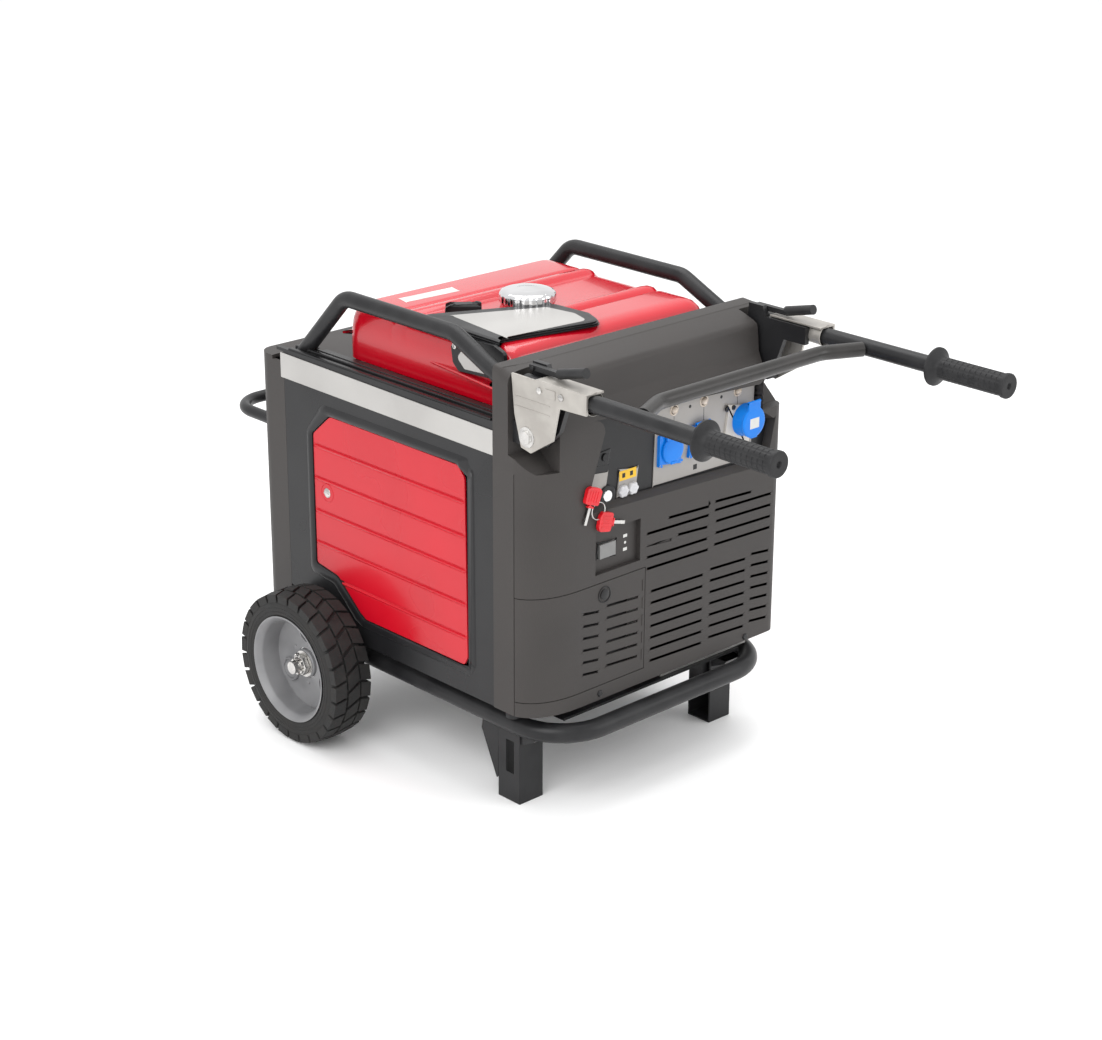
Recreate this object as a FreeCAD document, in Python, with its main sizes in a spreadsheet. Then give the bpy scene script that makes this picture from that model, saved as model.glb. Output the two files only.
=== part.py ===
import FreeCAD, Part
import Sketcher
import math
import os
from FreeCAD import Placement, Rotation
from FreeCAD import Vector as Point

# Wheeled inverter generator: a tube frame on two wheels and two legs, with folding lift handles.
# Frame: X across, -Y towards the control panel and the handles, +Z up, origin under the middle of
# the machine on the ground. Millimetres throughout.

DIMS = dict(
    # overall reach, measured from the front face of the front cover
    handle_reach=428.3, rear_reach=769.7, wheel_span=700, roll_top=721,
    # covers
    cover_width=520, shell_width=524, shell_wall=3, cover_wall=5, cover_low=165,
    seam=0.4, ledge_height=602, ledge_in=214,
    shell_depth=88, brow_low=600, brow_high=632, brow_in=10, fold_in=17, fold_high=675,
    groove_in=65, groove_high=691, shell_high=692, corner_x=82, corner_y=44, corner_right=20, corner_round=30,
    # frame tubes
    frame_tube=30, frame_half=230, frame_height=132, bumper_out=18, bumper_bend=85,
    frame_back=610, roll_tube=25.4, roll_half=235, roll_bend=38, tube_wall=2,
    hoop_front=73, hoop_back=592, bed_front=14, bed_back=562, member_front=132,
    lug_gap=0.6, rear_tube=19, rear_bar_height=465, rear_bar_half=228, rear_bar_bend=55, cross_tube=25,
    bed_half=190, bed_plate=4, mount_height=28, mount_radius=19,
    # legs
    leg_width=47.7, leg_depth=47.2, leg_inset=66, leg_sheet=3,
    # wheels
    tyre_radius=123.8, tyre_width=73, rim_radius=86.4, rim_wall=3.5, axle_back=474, axle_radius=10,
    hub_radius=24, hub_length=44, hub_offset=3, bush_wall=3, run_gap=0.08, nut_height=14, nut_flat=30,
    pin_radius=1.6,
    # handles
    handle_tube=25.4, handle_half=240.4, handle_height=672.8, pivot_in=22, pivot_height=600,
    pivot_radius=6, bracket_sheet=4, bracket_out=96, lever_pin=3, grip_length=131, grip_radius=16.5,
    flange_radius=28.5, crossbar_out=146, crossbar_spread=72, crossbar_bend=55,
    # red service doors
    door_sheet=5, door_gap=1.5, door_rear=504, door_front=147, door_high=522, door_low=210,
    hinge_radius=1.6, hinge_reach=4, latch_radius=13,
    # tank
    tank_half=206, tank_flange=228, tank_front=112, tank_back=482, tank_low=604, tank_seam=637,
    tank_high=697, filler_radius=24, cap_radius=44, cap_height=22, cap_x=-21, cap_back=276,
    # control panel
    panel_left=-166, panel_right=240, panel_low=458, panel_high=600, panel_step=205,
    panel_step_high=532, panel_depth=15, plate_sheet=3,
    outlet_side=52, lid_radius=20, lid_thick=4, button_radius=6, lock_radius=9,
    rocker_x=-114, rocker_z=398.5, rocker_width=32, rocker_height=22, rocker_pin=1.2,
    # drive train
    crank_height=335, crank_radius=12.5, barrel_lean=25, fan_radius=105, rotor_radius=88,
    stator_radius=70, tail_radius=26, tail_x=140, tail_z=300,
)

doc = FreeCAD.newDocument("inverter_generator")
sheet = doc.addObject("Spreadsheet::Sheet", "dims")
for row, (name, number) in enumerate(DIMS.items(), start=1):
    sheet.set(f"A{row}", name)
    sheet.set(f"B{row}", str(number))
    sheet.setAlias(f"B{row}", name)
doc.recompute()


class Size:
    """A length with the sheet formula that it comes from, so that sums stay bound to the sheet."""

    def __init__(self, value, text):
        self.value = value
        self.text = text

    def __add__(self, other):
        return Size(self.value + num(other), f"({self.text} + {formula(other)})")

    def __radd__(self, other):
        return Size(num(other) + self.value, f"({formula(other)} + {self.text})")

    def __sub__(self, other):
        return Size(self.value - num(other), f"({self.text} - {formula(other)})")

    def __rsub__(self, other):
        return Size(num(other) - self.value, f"({formula(other)} - {self.text})")

    def __mul__(self, other):
        return Size(self.value * num(other), f"({self.text} * {formula(other)})")

    __rmul__ = __mul__

    def __truediv__(self, other):
        return Size(self.value / num(other), f"({self.text} / {formula(other)})")

    def __neg__(self):
        return Size(-self.value, f"(0 - {self.text})")


class Sheet:
    """The sheet's cells as sizes, by alias."""

    def __getattr__(self, alias):
        return Size(float(sheet.get(alias)), f"dims.{alias}")


def num(size):
    return size.value if isinstance(size, Size) else float(size)


def formula(size):
    return size.text if isinstance(size, Size) else f"({size:.6g})"


D = Sheet()
front = (D.handle_reach - D.rear_reach) / 2
cover_half = D.cover_width / 2
shell_half = D.shell_width / 2
pieces = {}


def back(offset):
    """A place that far behind the front face of the front cover."""
    return front + offset


# ---------------------------------------------------------------- building blocks

def bind(thing, prop, size):
    if isinstance(size, Size):
        thing.setExpression(prop, size.text)
    else:
        setattr(thing, prop, size)


def place(thing, at, turn=None):
    thing.Placement = Placement(Point(*[num(c) for c in at]), turn or Rotation())
    for letter, size in zip("xyz", at):
        if isinstance(size, Size):
            thing.setExpression(f"Placement.Base.{letter}", size.text)
    return thing


def block(low, high):
    """A box between two opposite corners."""
    box = doc.addObject("Part::Box", "block")
    for prop, start, end in zip(("Length", "Width", "Height"), low, high):
        bind(box, prop, end - start)
    return place(box, low)


TURNS = {
    "x": Rotation(Point(0, 1, 0), 90),
    "-x": Rotation(Point(0, 1, 0), -90),
    "y": Rotation(Point(1, 0, 0), -90),
    "-y": Rotation(Point(1, 0, 0), 90),
    "z": Rotation(),
}


def rod(radius, length, at, axis="z", turn=None):
    """A cylinder that starts at a point and runs along an axis."""
    cylinder = doc.addObject("Part::Cylinder", "rod")
    bind(cylinder, "Radius", radius)
    bind(cylinder, "Height", length)
    return place(cylinder, at, turn or TURNS[axis])


def group(things):
    compound = doc.addObject("Part::Compound", "group")
    compound.Links = things
    return compound


def join(*things):
    fuse = doc.addObject("Part::MultiFuse", "join")
    fuse.Shapes = list(things)
    return fuse


def cut(base, *tools):
    result = doc.addObject("Part::Cut", "cut")
    result.Base = base
    result.Tool = tools[0] if len(tools) == 1 else group(list(tools))
    return result


def mirrored(source):
    """The same piece on the other side of the machine."""
    twin = doc.addObject("Part::Mirroring", "mirrored")
    twin.Source = source
    twin.Normal = Point(1, 0, 0)
    twin.Base = Point(0, 0, 0)
    return twin


def piece(label, thing):
    thing.Label = label
    pieces[label] = thing
    return thing


def sketch_on(body, plane, offset=0):
    """A sketch on one of the body's own origin planes, moved along that plane's normal."""
    sketch = body.newObject("Sketcher::SketchObject", "outline")
    origin = [f for f in body.Origin.OriginFeatures if f.Role == plane][0]
    sketch.AttachmentSupport = [(origin, "")]
    sketch.MapMode = "FlatFace"
    sketch.AttachmentOffset = Placement(Point(0, 0, num(offset)), Rotation())
    if isinstance(offset, Size):
        sketch.setExpression("AttachmentOffset.Base.z", offset.text)
    return sketch


def outline(sketch, points):
    """A closed outline of straight edges whose corners are bound to the sheet."""
    first = sketch.GeometryCount
    corners = [Point(num(u), num(v), 0) for u, v in points]
    count = len(corners)
    for i in range(count):
        sketch.addGeometry(Part.LineSegment(corners[i], corners[(i + 1) % count]))
    for i in range(count):
        after = first + (i + 1) % count
        sketch.addConstraint(Sketcher.Constraint("Coincident", first + i, 2, after, 1))
        for kind, size in zip(("DistanceX", "DistanceY"), points[i]):
            if abs(num(size)) < 1e-9:
                target = -2 if kind == "DistanceX" else -1
                rule = Sketcher.Constraint("PointOnObject", first + i, 1, target)
                sketch.addConstraint(rule)
                continue
            spot = sketch.addConstraint(Sketcher.Constraint(kind, -1, 1, first + i, 1, num(size)))
            if isinstance(size, Size):
                sketch.setExpression(f"Constraints[{spot}]", size.text)


def disc(sketch, u, v, radius):
    """A round hole or rim in a sketch, bound to the sheet."""
    ring = sketch.addGeometry(Part.Circle(Point(num(u), num(v), 0), Point(0, 0, 1), num(radius)))
    for kind, size in (("DistanceX", u), ("DistanceY", v)):
        spot = sketch.addConstraint(Sketcher.Constraint(kind, -1, 1, ring, 3, num(size)))
        if isinstance(size, Size):
            sketch.setExpression(f"Constraints[{spot}]", size.text)
    spot = sketch.addConstraint(Sketcher.Constraint("Radius", ring, num(radius)))
    if isinstance(radius, Size):
        sketch.setExpression(f"Constraints[{spot}]", radius.text)


def new_body(name):
    return doc.addObject("PartDesign::Body", name)


def plate(plane, start, thick, points, holes=(), round_holes=()):
    """A flat piece of an outline, from a start along the plane's normal."""
    body = new_body("plate")
    sign = -1 if plane == "XZ_Plane" else 1
    offset = -1 * (start + thick) if sign < 0 else start
    sketch = sketch_on(body, plane, offset)
    outline(sketch, points)
    for hole in holes:
        outline(sketch, hole)
    for u, v, radius in round_holes:
        disc(sketch, u, v, radius)
    pad = body.newObject("PartDesign::Pad", "pad")
    pad.Profile = sketch
    bind(pad, "Length", thick)
    body.Tip = pad
    return body


def turned(points, at, axis="x"):
    """A lathe piece: points are (along the axis, radius), spun about the axis."""
    body = new_body("turned")
    sketch = sketch_on(body, "XY_Plane")
    outline(sketch, points)
    spin = body.newObject("PartDesign::Revolution", "spin")
    spin.Profile = sketch
    spin.ReferenceAxis = (sketch, ["H_Axis"])
    spin.Angle = 360
    body.Tip = spin
    turns = {
        "x": Rotation(),
        "y": Rotation(Point(0, 0, 1), 90),
        "-y": Rotation(Point(0, 0, 1), -90),
        "z": Rotation(Point(0, 1, 0), -90),
    }
    return place(body, at, turns[axis])


def rounded(thing, radius, pick):
    """A fillet on the edges of a plain shape that pick accepts."""
    doc.recompute()
    fillet = doc.addObject("Part::Fillet", "rounded")
    fillet.Base = thing
    edges = enumerate(thing.Shape.Edges, start=1)
    fillet.Edges = [(i, num(radius), num(radius)) for i, edge in edges if pick(edge)]
    return fillet


def along(axis):
    """Accepts straight edges that run along one axis."""
    direction = Point(*[1 if letter == axis else 0 for letter in "xyz"])

    def pick(edge):
        if not isinstance(edge.Curve, Part.Line):
            return False
        return abs(abs(edge.Curve.Direction.dot(direction)) - 1) < 1e-6
    return pick


def bent_path(points, radius):
    """Straight runs joined by tangent arcs of one radius."""
    spots = [Point(*[num(c) for c in point]) for point in points]
    edges = []
    start = spots[0]
    for before, corner, after in zip(spots, spots[1:], spots[2:]):
        inward = (before - corner).normalize()
        outward = (after - corner).normalize()
        half_turn = math.acos(max(-1, min(1, -inward.dot(outward)))) / 2
        reach = num(radius) * math.tan(half_turn)
        first = corner + inward * reach
        last = corner + outward * reach
        bisector = (inward + outward).normalize()
        middle = corner + bisector * (num(radius) / math.cos(half_turn) - num(radius))
        edges.append(Part.LineSegment(start, first).toShape())
        edges.append(Part.Arc(first, middle, last).toShape())
        start = last
    edges.append(Part.LineSegment(start, spots[-1]).toShape())
    return Part.Wire(edges)


def bent_tube(points, radius, diameter, wall=None):
    """A round tube bent along a path; hollow where a wall is given."""
    path = bent_path(points, radius)
    first = path.Edges[0]
    heading = first.tangentAt(first.FirstParameter)
    begin = first.valueAt(first.FirstParameter)

    def sweep(size):
        ring = Part.Wire(Part.Circle(begin, heading, size / 2).toShape())
        return path.makePipeShell([ring], True, True)
    shape = sweep(num(diameter))
    if wall is not None:
        shape = shape.cut(sweep(num(diameter) - 2 * num(wall)))
    tube = doc.addObject("Part::Feature", "tube")
    tube.Shape = shape
    return tube


# ---------------------------------------------------------------- frame

def build_frame():
    """Bottom frame with its bed, roll hoops with the handle lugs, and the rear bar, of round tube."""
    low = D.frame_height
    nose = front - D.bumper_out
    tail = back(D.frame_back)
    half = D.frame_half
    path = [(-half, tail, low), (-half, nose, low), (half, nose, low), (half, tail, low)]
    loop = bent_tube(path, D.bumper_bend, D.frame_tube, D.tube_wall)
    tube = D.frame_tube / 2
    tail_half = half - tube
    members = [rod(tube, 2 * tail_half, (-1 * tail_half, tail - tube, low), "x")]
    for offset in (D.member_front, D.bed_back - 20):
        members.append(rod(D.cross_tube / 2, 2 * tail_half, (-1 * tail_half, back(offset), low), "x"))
    bed_low = low + D.cross_tube / 2
    bed_high = bed_low + D.bed_plate
    bed = block((-D.bed_half, back(D.bed_front), bed_low), (D.bed_half, back(D.bed_back), bed_high))
    window = block((-95, back(250), bed_low - 1), (95, back(420), bed_high + 1))
    piece("bottom_frame", group([loop, *members, cut(bed, window)]))

    top = D.roll_top - D.roll_tube / 2
    foot = low + tube
    shoulder_back = back(D.hoop_back - 144)
    shoulder_front = back(D.hoop_front + 125)
    hoops = []
    for side in (-1, 1):
        x = side * D.roll_half
        hoop = [(x, back(D.hoop_back), foot), (x, back(D.hoop_back), top - 148), (x, shoulder_back, top),
                (x, shoulder_front, top), (x, back(D.hoop_front), top - 56), (x, back(D.hoop_front), foot)]
        hoops.append(bent_tube(hoop, D.roll_bend, D.roll_tube, D.tube_wall))
    pivot_y = back(D.pivot_in)
    lug_low = D.handle_half - D.handle_tube / 2 + D.lug_gap
    lug_high = D.handle_half + D.handle_tube / 2 - D.lug_gap
    lug_back = back(D.hoop_front) - D.roll_tube / 2
    plate_lug = block((lug_low, pivot_y - 14, D.pivot_height - 16), (lug_high, lug_back, D.pivot_height + 16))
    eye = rod(D.pivot_radius + D.run_gap, 60, (lug_low - 1, pivot_y, D.pivot_height), "x")
    lug = cut(plate_lug, eye)
    piece("roll_hoops", group([*hoops, lug, mirrored(lug)]))

    far = back(D.rear_reach) - D.rear_tube / 2
    arm = D.rear_bar_half
    begin = back(D.hoop_back) + D.roll_tube / 2
    height = D.rear_bar_height
    bar = [(-arm, begin, height), (-arm, far, height), (arm, far, height), (arm, begin, height)]
    piece("rear_bar", bent_tube(bar, D.rear_bar_bend, D.rear_tube, D.tube_wall))


def build_legs():
    """Two pressed channels under the front end, open towards the middle, with a slot each."""
    outer = D.frame_half + 1
    inner = outer - D.leg_width
    near = back(D.leg_inset)
    deep = near + D.leg_depth
    top = D.frame_height - D.frame_tube / 2
    gauge = D.leg_sheet
    body = block((inner, near, 0), (outer, deep, top))
    hollow = block((inner - 1, near + gauge, gauge), (outer - gauge, deep - gauge, top + 1))
    slot = block((outer - gauge - 1, near + 13, 47), (outer + 1, near + 30, 100))
    leg = cut(body, hollow, slot)
    piece("front_legs", group([leg, mirrored(leg)]))


# ---------------------------------------------------------------- wheels

def hexagon(flat, height, at, axis):
    """A nut blank: a hexagon across flats, along an axis."""
    prism = doc.addObject("Part::Prism", "nut")
    prism.Polygon = 6
    bind(prism, "Circumradius", flat / math.sqrt(3))
    bind(prism, "Height", height)
    return place(prism, at, TURNS[axis])


def build_wheels():
    """Two wheels on stub axles: tyre, dished rim, bush, and hub nut with its split pin."""
    axle_y = back(D.axle_back)
    height = D.tyre_radius
    half_tread = D.tyre_width / 2
    middle = D.wheel_span / 2 - half_tread
    centre = (middle, axle_y, height)
    bead = D.rim_radius
    seat = bead - 4
    lip = half_tread - 8
    shoulder = D.tyre_radius - 14
    tyre = [(-half_tread, shoulder), (12 - half_tread, D.tyre_radius), (half_tread - 12, D.tyre_radius),
            (half_tread, shoulder), (half_tread, bead + 4), (lip, bead), (lip, seat), (-lip, seat),
            (-lip, bead), (-half_tread, bead + 4)]
    right_tyre = turned(tyre, centre)
    piece("right_tyre", right_tyre)
    piece("left_tyre", mirrored(right_tyre))

    bore = D.axle_radius + D.bush_wall + D.run_gap
    wall = D.rim_wall
    hub_out = D.hub_offset
    hub_in = hub_out - D.hub_length
    drop = seat - wall
    rim = [(-lip, seat), (lip, seat), (lip, drop), (wall - 6, drop), (wall - 6, D.hub_radius),
           (hub_out, D.hub_radius), (hub_out, bore), (hub_in, bore), (hub_in, D.hub_radius),
           (-6 - wall, D.hub_radius), (-6 - wall, drop), (-lip, drop)]
    windows = []
    pocket = (seat - D.hub_radius) / 2 - 9
    for turn in range(3):
        angle = math.radians(90 + 120 * turn)
        reach = (D.hub_radius + seat) / 2
        spot = (middle - 30, axle_y + reach * math.cos(angle), height + reach * math.sin(angle))
        windows.append(rod(pocket, 60, spot, "x"))
    right_rim = cut(turned(rim, centre), *windows)
    piece("right_rim", right_rim)
    piece("left_rim", mirrored(right_rim))
    sleeve = D.axle_radius + D.run_gap
    bush = turned([(hub_in, sleeve), (hub_out, sleeve), (hub_out, bore), (hub_in, bore)], centre)
    piece("wheel_bushes", group([bush, mirrored(bush)]))

    face = D.frame_half + D.frame_tube / 2
    shelf = middle + hub_in - 0.5
    nut_start = middle + hub_out + 0.5
    axle_end = nut_start + D.nut_height + 10
    axle = [(face, 0), (face, 30), (face + 6, 30), (face + 6, D.axle_radius + 6), (shelf, D.axle_radius + 6),
            (shelf, D.axle_radius), (axle_end, D.axle_radius), (axle_end, 0)]
    pin_x = nut_start + D.nut_height + 4
    pin_reach = D.axle_radius + 4
    pin_low = (pin_x, axle_y, height - pin_reach)
    stub = cut(turned(axle, (0, axle_y, height)), rod(D.pin_radius + 0.3, 2 * pin_reach, pin_low, "z"))
    piece("stub_axles", group([stub, mirrored(stub)]))
    blank = hexagon(D.nut_flat, D.nut_height, (nut_start, axle_y, height), "x")
    nut = cut(blank, rod(D.axle_radius + 0.05, D.nut_height + 2, (nut_start - 1, axle_y, height), "x"))
    shank = rod(D.pin_radius, 2 * pin_reach, pin_low, "z")
    eye = rod(4, 3, (pin_x, axle_y - 1.5, height + pin_reach + 2), "y")
    split = join(shank, eye)
    piece("hub_nuts", group([nut, split, mirrored(nut), mirrored(split)]))


# ---------------------------------------------------------------- covers

def shell_block(inset):
    """The front cover's outer shape, or with an inset the hollow inside it."""
    face = front + inset
    rear = back(D.shell_depth) + (1 if num(inset) else 0)
    low = D.cover_low - (1 if num(inset) else 0)
    profile = [(rear, low), (face, low), (face, D.brow_low - inset), (face + D.brow_in, D.brow_high - inset),
               (front + D.fold_in + inset, D.fold_high - inset),
               (front + D.groove_in, D.groove_high - inset), (rear, D.shell_high - inset)]
    half = shell_half - inset
    body = plate("YZ_Plane", -half, 2 * half, profile)

    wedge = plate("XY_Plane", low - 1, D.shell_high - low + 2,
                  [(-half - 5, face - 5), (D.corner_x - half + 9, face - 5),
                   (-half - 5, face + D.corner_y + 3)])
    shape = cut(body, wedge)

    def front_corner(edge):
        spot = edge.CenterOfMass
        lower = along("z")(edge) and spot.z < num(D.brow_low) - 20
        return lower and spot.y < num(face) + num(D.corner_y) + 8

    def left_corner(edge):
        return front_corner(edge) and edge.CenterOfMass.x < 0

    def right_corner(edge):
        return front_corner(edge) and edge.CenterOfMass.x > 0
    shape = rounded(shape, D.corner_right - inset, right_corner)
    return rounded(shape, D.corner_round - inset, left_corner)


def build_front_shell():
    """The moulded front cover: panel recess, louvres, rocker pocket and handle pockets."""
    outer = shell_block(0)
    inner = shell_block(D.shell_wall)
    wall = D.shell_wall
    pocket_side = D.handle_half - D.handle_tube / 2 - 17
    pocket_back = back(56)
    pocket_low = D.pivot_height - 60
    top = D.shell_high + 10
    walls = []
    gaps = []
    for side in (-1, 1):
        low_x = pocket_side if side > 0 else -shell_half - 5
        high_x = shell_half + 5 if side > 0 else -pocket_side
        gaps.append(block((low_x, front - 5, pocket_low), (high_x, pocket_back, top)))
        walls.append(block((low_x - wall, front - 6, pocket_low - wall),
                           (high_x + wall, pocket_back + wall, top + 1)))
    lug_half = D.handle_tube / 2 + 1
    lug_room = block((D.handle_half - lug_half, pocket_back - 1, D.pivot_height - 18),
                     (D.handle_half + lug_half, pocket_back + wall + 1, D.pivot_height + 18))
    gaps += [lug_room, mirrored(lug_room)]
    base = D.panel_low
    deep = back(D.panel_depth)
    for left, right, high in ((D.panel_left, D.panel_step, D.panel_high),
                              (D.panel_left, D.panel_right, D.panel_step_high)):
        gaps.append(block((left, front - 5, base), (right, deep + 1, high)))
        walls.append(block((left - wall, front - 6, base - wall), (right + wall, deep, high + wall)))
    gaps.append(block((-142, front - 5, 366), (-50, back(8), 432)))
    half_wide, half_high = D.rocker_width / 2, D.rocker_height / 2
    rocker_x, rocker_z = D.rocker_x, D.rocker_z
    gaps.append(block((rocker_x - half_wide - 0.4, back(7), rocker_z - half_high - 2.2),
                      (rocker_x + half_wide + 0.4, back(12), rocker_z + half_high + 2.2)))
    gaps.append(rod(D.rocker_pin + D.run_gap, D.rocker_width + 6,
                    (rocker_x - half_wide - 3, back(9.5), rocker_z), "x"))
    walls.append(block((-142 - wall, front - 6, 366 - wall), (-50 + wall, back(8) + wall, 432 + wall)))
    room = cut(inner, join(*walls))

    slots = []
    for z, x_low, x_high in ((415, 6, 100), (415, 108, 195), (402, -39, 100), (402, 108, 240)):
        slots.append((x_low, x_high, z))
    for row in range(7):
        for x_low, x_high in ((-28, 91), (99, 186), (192, 240)):
            slots.append((x_low, x_high, 307 - 18.87 * row))
    for x_low, x_high, z in slots:
        gaps.append(block((x_low, front - 5, z - 3.5), (x_high, front + wall + 1, z + 3.5)))
    door_gap = 2 * D.seam
    gaps.append(block((-shell_half - 5, front - 5, 188), (-38, back(44), 352)))
    shell = cut(cut(outer, room), join(*gaps))
    boss_start = D.roll_half + D.roll_tube / 2 + 0.3
    bosses = []
    for z in (260, 520):
        boss = rod(7, shell_half - wall - boss_start, (boss_start, back(D.hoop_front), z), "x")
        bosses += [boss, mirrored(boss)]
    piece("front_shell", join(shell, *bosses))

    skin = shell_block(0)
    inside = shell_block(wall)
    keep = block((-shell_half - 5, front - 5, 188 + door_gap),
                 (-38 - door_gap, back(44) - door_gap, 352 - door_gap))
    sheet_cut = cut(skin, inside)
    cover = doc.addObject("Part::MultiCommon", "access")
    cover.Shapes = [sheet_cut, keep]
    slits = []
    for row in range(6):
        z = 309 - 19.2 * row
        for x_low, x_high in ((-169, -130), (-121, -49)):
            slits.append(block((x_low, front - 5, z - 3.5), (x_high, front + wall + 1, z + 3.5)))
    slits.append(rod(5, 20, (-123, front - 5, 331), "y"))
    piece("battery_cover", cut(cover, *slits))


def build_side_covers():
    """Side covers with a ledge and a door opening, their red panels, silver strips and rear cover."""
    out = cover_half
    wall = D.cover_wall
    inner = out - wall
    near = back(D.shell_depth) + D.seam
    rear = back(573)
    low = D.cover_low
    top = D.ledge_height
    gap = D.door_gap
    edge = [(near, low), (back(400), low), (rear, low + 50), (rear, top), (near, top)]
    start, end = back(D.door_front), back(D.door_rear)
    notch = D.door_low + 62
    door = [(start, D.door_low), (end - 122, D.door_low), (end - 57, notch - 6), (end, notch),
            (end, D.door_high - 36), (end - 42, D.door_high), (start, D.door_high)]
    hole = [(start - gap, D.door_low - gap), (end - 122 + gap / 2, D.door_low - gap),
            (end - 57 + gap / 2, notch - 6 - gap), (end + gap, notch - gap),
            (end + gap, D.door_high - 36 + gap / 2),
            (end - 42 + gap / 2, D.door_high + gap), (start - gap, D.door_high + gap)]
    skin = plate("YZ_Plane", inner, wall, edge, holes=[hole])
    ledge = block((D.ledge_in, near, top), (out, back(590), top + 5))
    hoop_notch = block((D.ledge_in - 1, back(524), top - 1), (out - 8, back(600), top + 6))
    hinge_x, hinge_y = out - D.door_sheet / 2, start + D.door_sheet / 2
    bore_low = D.door_low - gap - D.hinge_reach
    bores = rod(D.hinge_radius + D.run_gap, D.door_high - bore_low + gap + D.hinge_reach,
                (hinge_x, hinge_y, bore_low), "z")
    cover = cut(join(skin, cut(ledge, hoop_notch)), bores)
    piece("side_covers", group([cover, mirrored(cover)]))

    latch_y, latch_z = end - 31, 396
    panel = plate("YZ_Plane", out - D.door_sheet, D.door_sheet, door)
    pins = [rod(D.hinge_radius, D.hinge_reach + gap - 0.6, (hinge_x, hinge_y, z), "z")
            for z in (D.door_low - gap - D.hinge_reach + 0.6, D.door_high)]
    piece("right_panel", join(panel, *pins))
    latch_hole = rod(D.latch_radius + 0.5, 30, (out - 20, latch_y, latch_z), "x")
    piece("left_door", mirrored(cut(join(panel, *pins), latch_hole)))
    knob = turned([(inner - 5, 0), (inner - 5, D.latch_radius), (out + 3, D.latch_radius), (out + 3, 0)],
                  (0, latch_y, latch_z))
    tongue = block((inner - 4, latch_y - 4, latch_z - 43), (inner - 0.5, latch_y + 4, latch_z + 5))
    piece("left_door_latch", mirrored(join(knob, tongue)))

    strip_edge = [(near, 557), (rear + 6, 560), (rear + 6, 600), (near, 594)]
    strip = plate("YZ_Plane", out, 2, strip_edge)
    piece("side_strips", group([strip, mirrored(strip)]))

    rear_out = back(642)
    high = 590
    shell_rear = block((-out, rear + D.seam, low + 10), (out, rear_out, high))
    corners = rounded(shell_rear, 28, lambda e: along("z")(e) and e.CenterOfMass.y > num(rear_out) - 1)
    hollow = block((-inner, rear, low + 9), (inner, rear_out - wall, high - wall))
    vents = []
    for row in range(12):
        z = 210 + 28 * row
        vents.append(block((-150, rear_out - wall - 1, z), (60, rear_out + 1, z + 9)))
    arms = [rod(D.rear_tube / 2 + 2, 60, (side * D.rear_bar_half, rear_out - 50, D.rear_bar_height), "y")
            for side in (-1, 1)]
    outlet = rod(D.tail_radius + 6, 20, (D.tail_x, rear_out - 10, D.tail_z), "y")
    deck = block((-205, back(D.tank_back) + 16, high - 4), (205, rear + 1, high))
    boss_start = D.roll_half + D.roll_tube / 2 + 0.3
    bosses = []
    for z in (300, 500):
        boss = rod(7, inner - boss_start, (boss_start, back(D.hoop_back), z), "x")
        bosses += [boss, mirrored(boss)]
    body = cut(corners, hollow, *vents, *arms, outlet)
    hoop_rooms = block((-out - 1, rear, high - 6), (-out + 60, back(D.hoop_back) + 10, high + 1))
    piece("rear_cover", join(cut(body, hoop_rooms, mirrored(hoop_rooms)), deck, *bosses))


# ---------------------------------------------------------------- fuel tank

def build_tank():
    """A pressed tank with a seam flange, ridged top, filler neck, cap, gauge and corner cover."""
    near = back(D.tank_front)
    rear = back(D.tank_back)
    half = D.tank_half
    low = D.tank_low
    pan = block((-half, near, low), (half, rear, D.tank_seam))
    flange_half = D.tank_flange - 2
    flange = block((-flange_half, near - 8, D.tank_seam), (flange_half, rear + 12, D.tank_seam + 4))
    dome = block((-half, near, D.tank_seam + 4), (half, rear, D.tank_high - 6))
    soft = rounded(dome, 26, lambda e: e.CenterOfMass.z > num(D.tank_seam) + 5 and not along("z")(e))
    ribs = []
    for index in range(5):
        y = rear - 62 - 66 * index
        ribs.append(block((30 - half, y, D.tank_high - 12), (half - 30, y + 22, D.tank_high)))
    hollow = block((-half + 3, near + 3, low + 3), (half - 3, rear - 3, D.tank_high - 40))
    cap_y = back(D.cap_back)
    neck_hole = rod(D.filler_radius - 2, 90, (D.cap_x, cap_y, D.tank_high - 50), "z")
    neck_base = D.tank_high
    neck = rod(D.filler_radius, 22, (D.cap_x, cap_y, neck_base - 10), "z")
    posts = []
    post_x = (D.ledge_in + D.tank_flange) / 2 - 1
    for y in (near + 30, rear - 30):
        post = rod(5, D.tank_seam - D.ledge_height - 5, (post_x, y, D.ledge_height + 5), "z")
        posts += [post, mirrored(post)]
    body = cut(join(pan, flange, soft, neck, *ribs, *posts), hollow, neck_hole)
    piece("fuel_tank", body)
    gap = 0.4
    skirt = [(1.5, D.filler_radius + gap), (1.5, D.cap_radius), (D.cap_height - 4, D.cap_radius - 2),
             (D.cap_height, D.cap_radius - 8), (D.cap_height, 0), (12 + gap, 0),
             (12 + gap, D.filler_radius + gap)]
    piece("fuel_cap", turned(skirt, (D.cap_x, cap_y, neck_base), "z"))

    dial = rounded(block((-30, -15, 0), (30, 15, 8)), 6, along("z"))
    piece("fuel_gauge", place(dial, (-113, back(318), D.tank_high), Rotation(Point(0, 0, 1), -25)))
    outline_points = [(-half, near + 8), (-18, near + 8), (2, back(162)), (-3, back(237)), (-186, back(321)),
                      (-half, back(321))]
    corner = plate("XY_Plane", D.tank_high + 0.3, 5, outline_points)
    cap_room = rod(D.cap_radius + 1.5, 20, (D.cap_x, cap_y, D.tank_high - 5), "z")
    piece("gauge_cover", cut(corner, cap_room))


# ---------------------------------------------------------------- control panel

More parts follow.
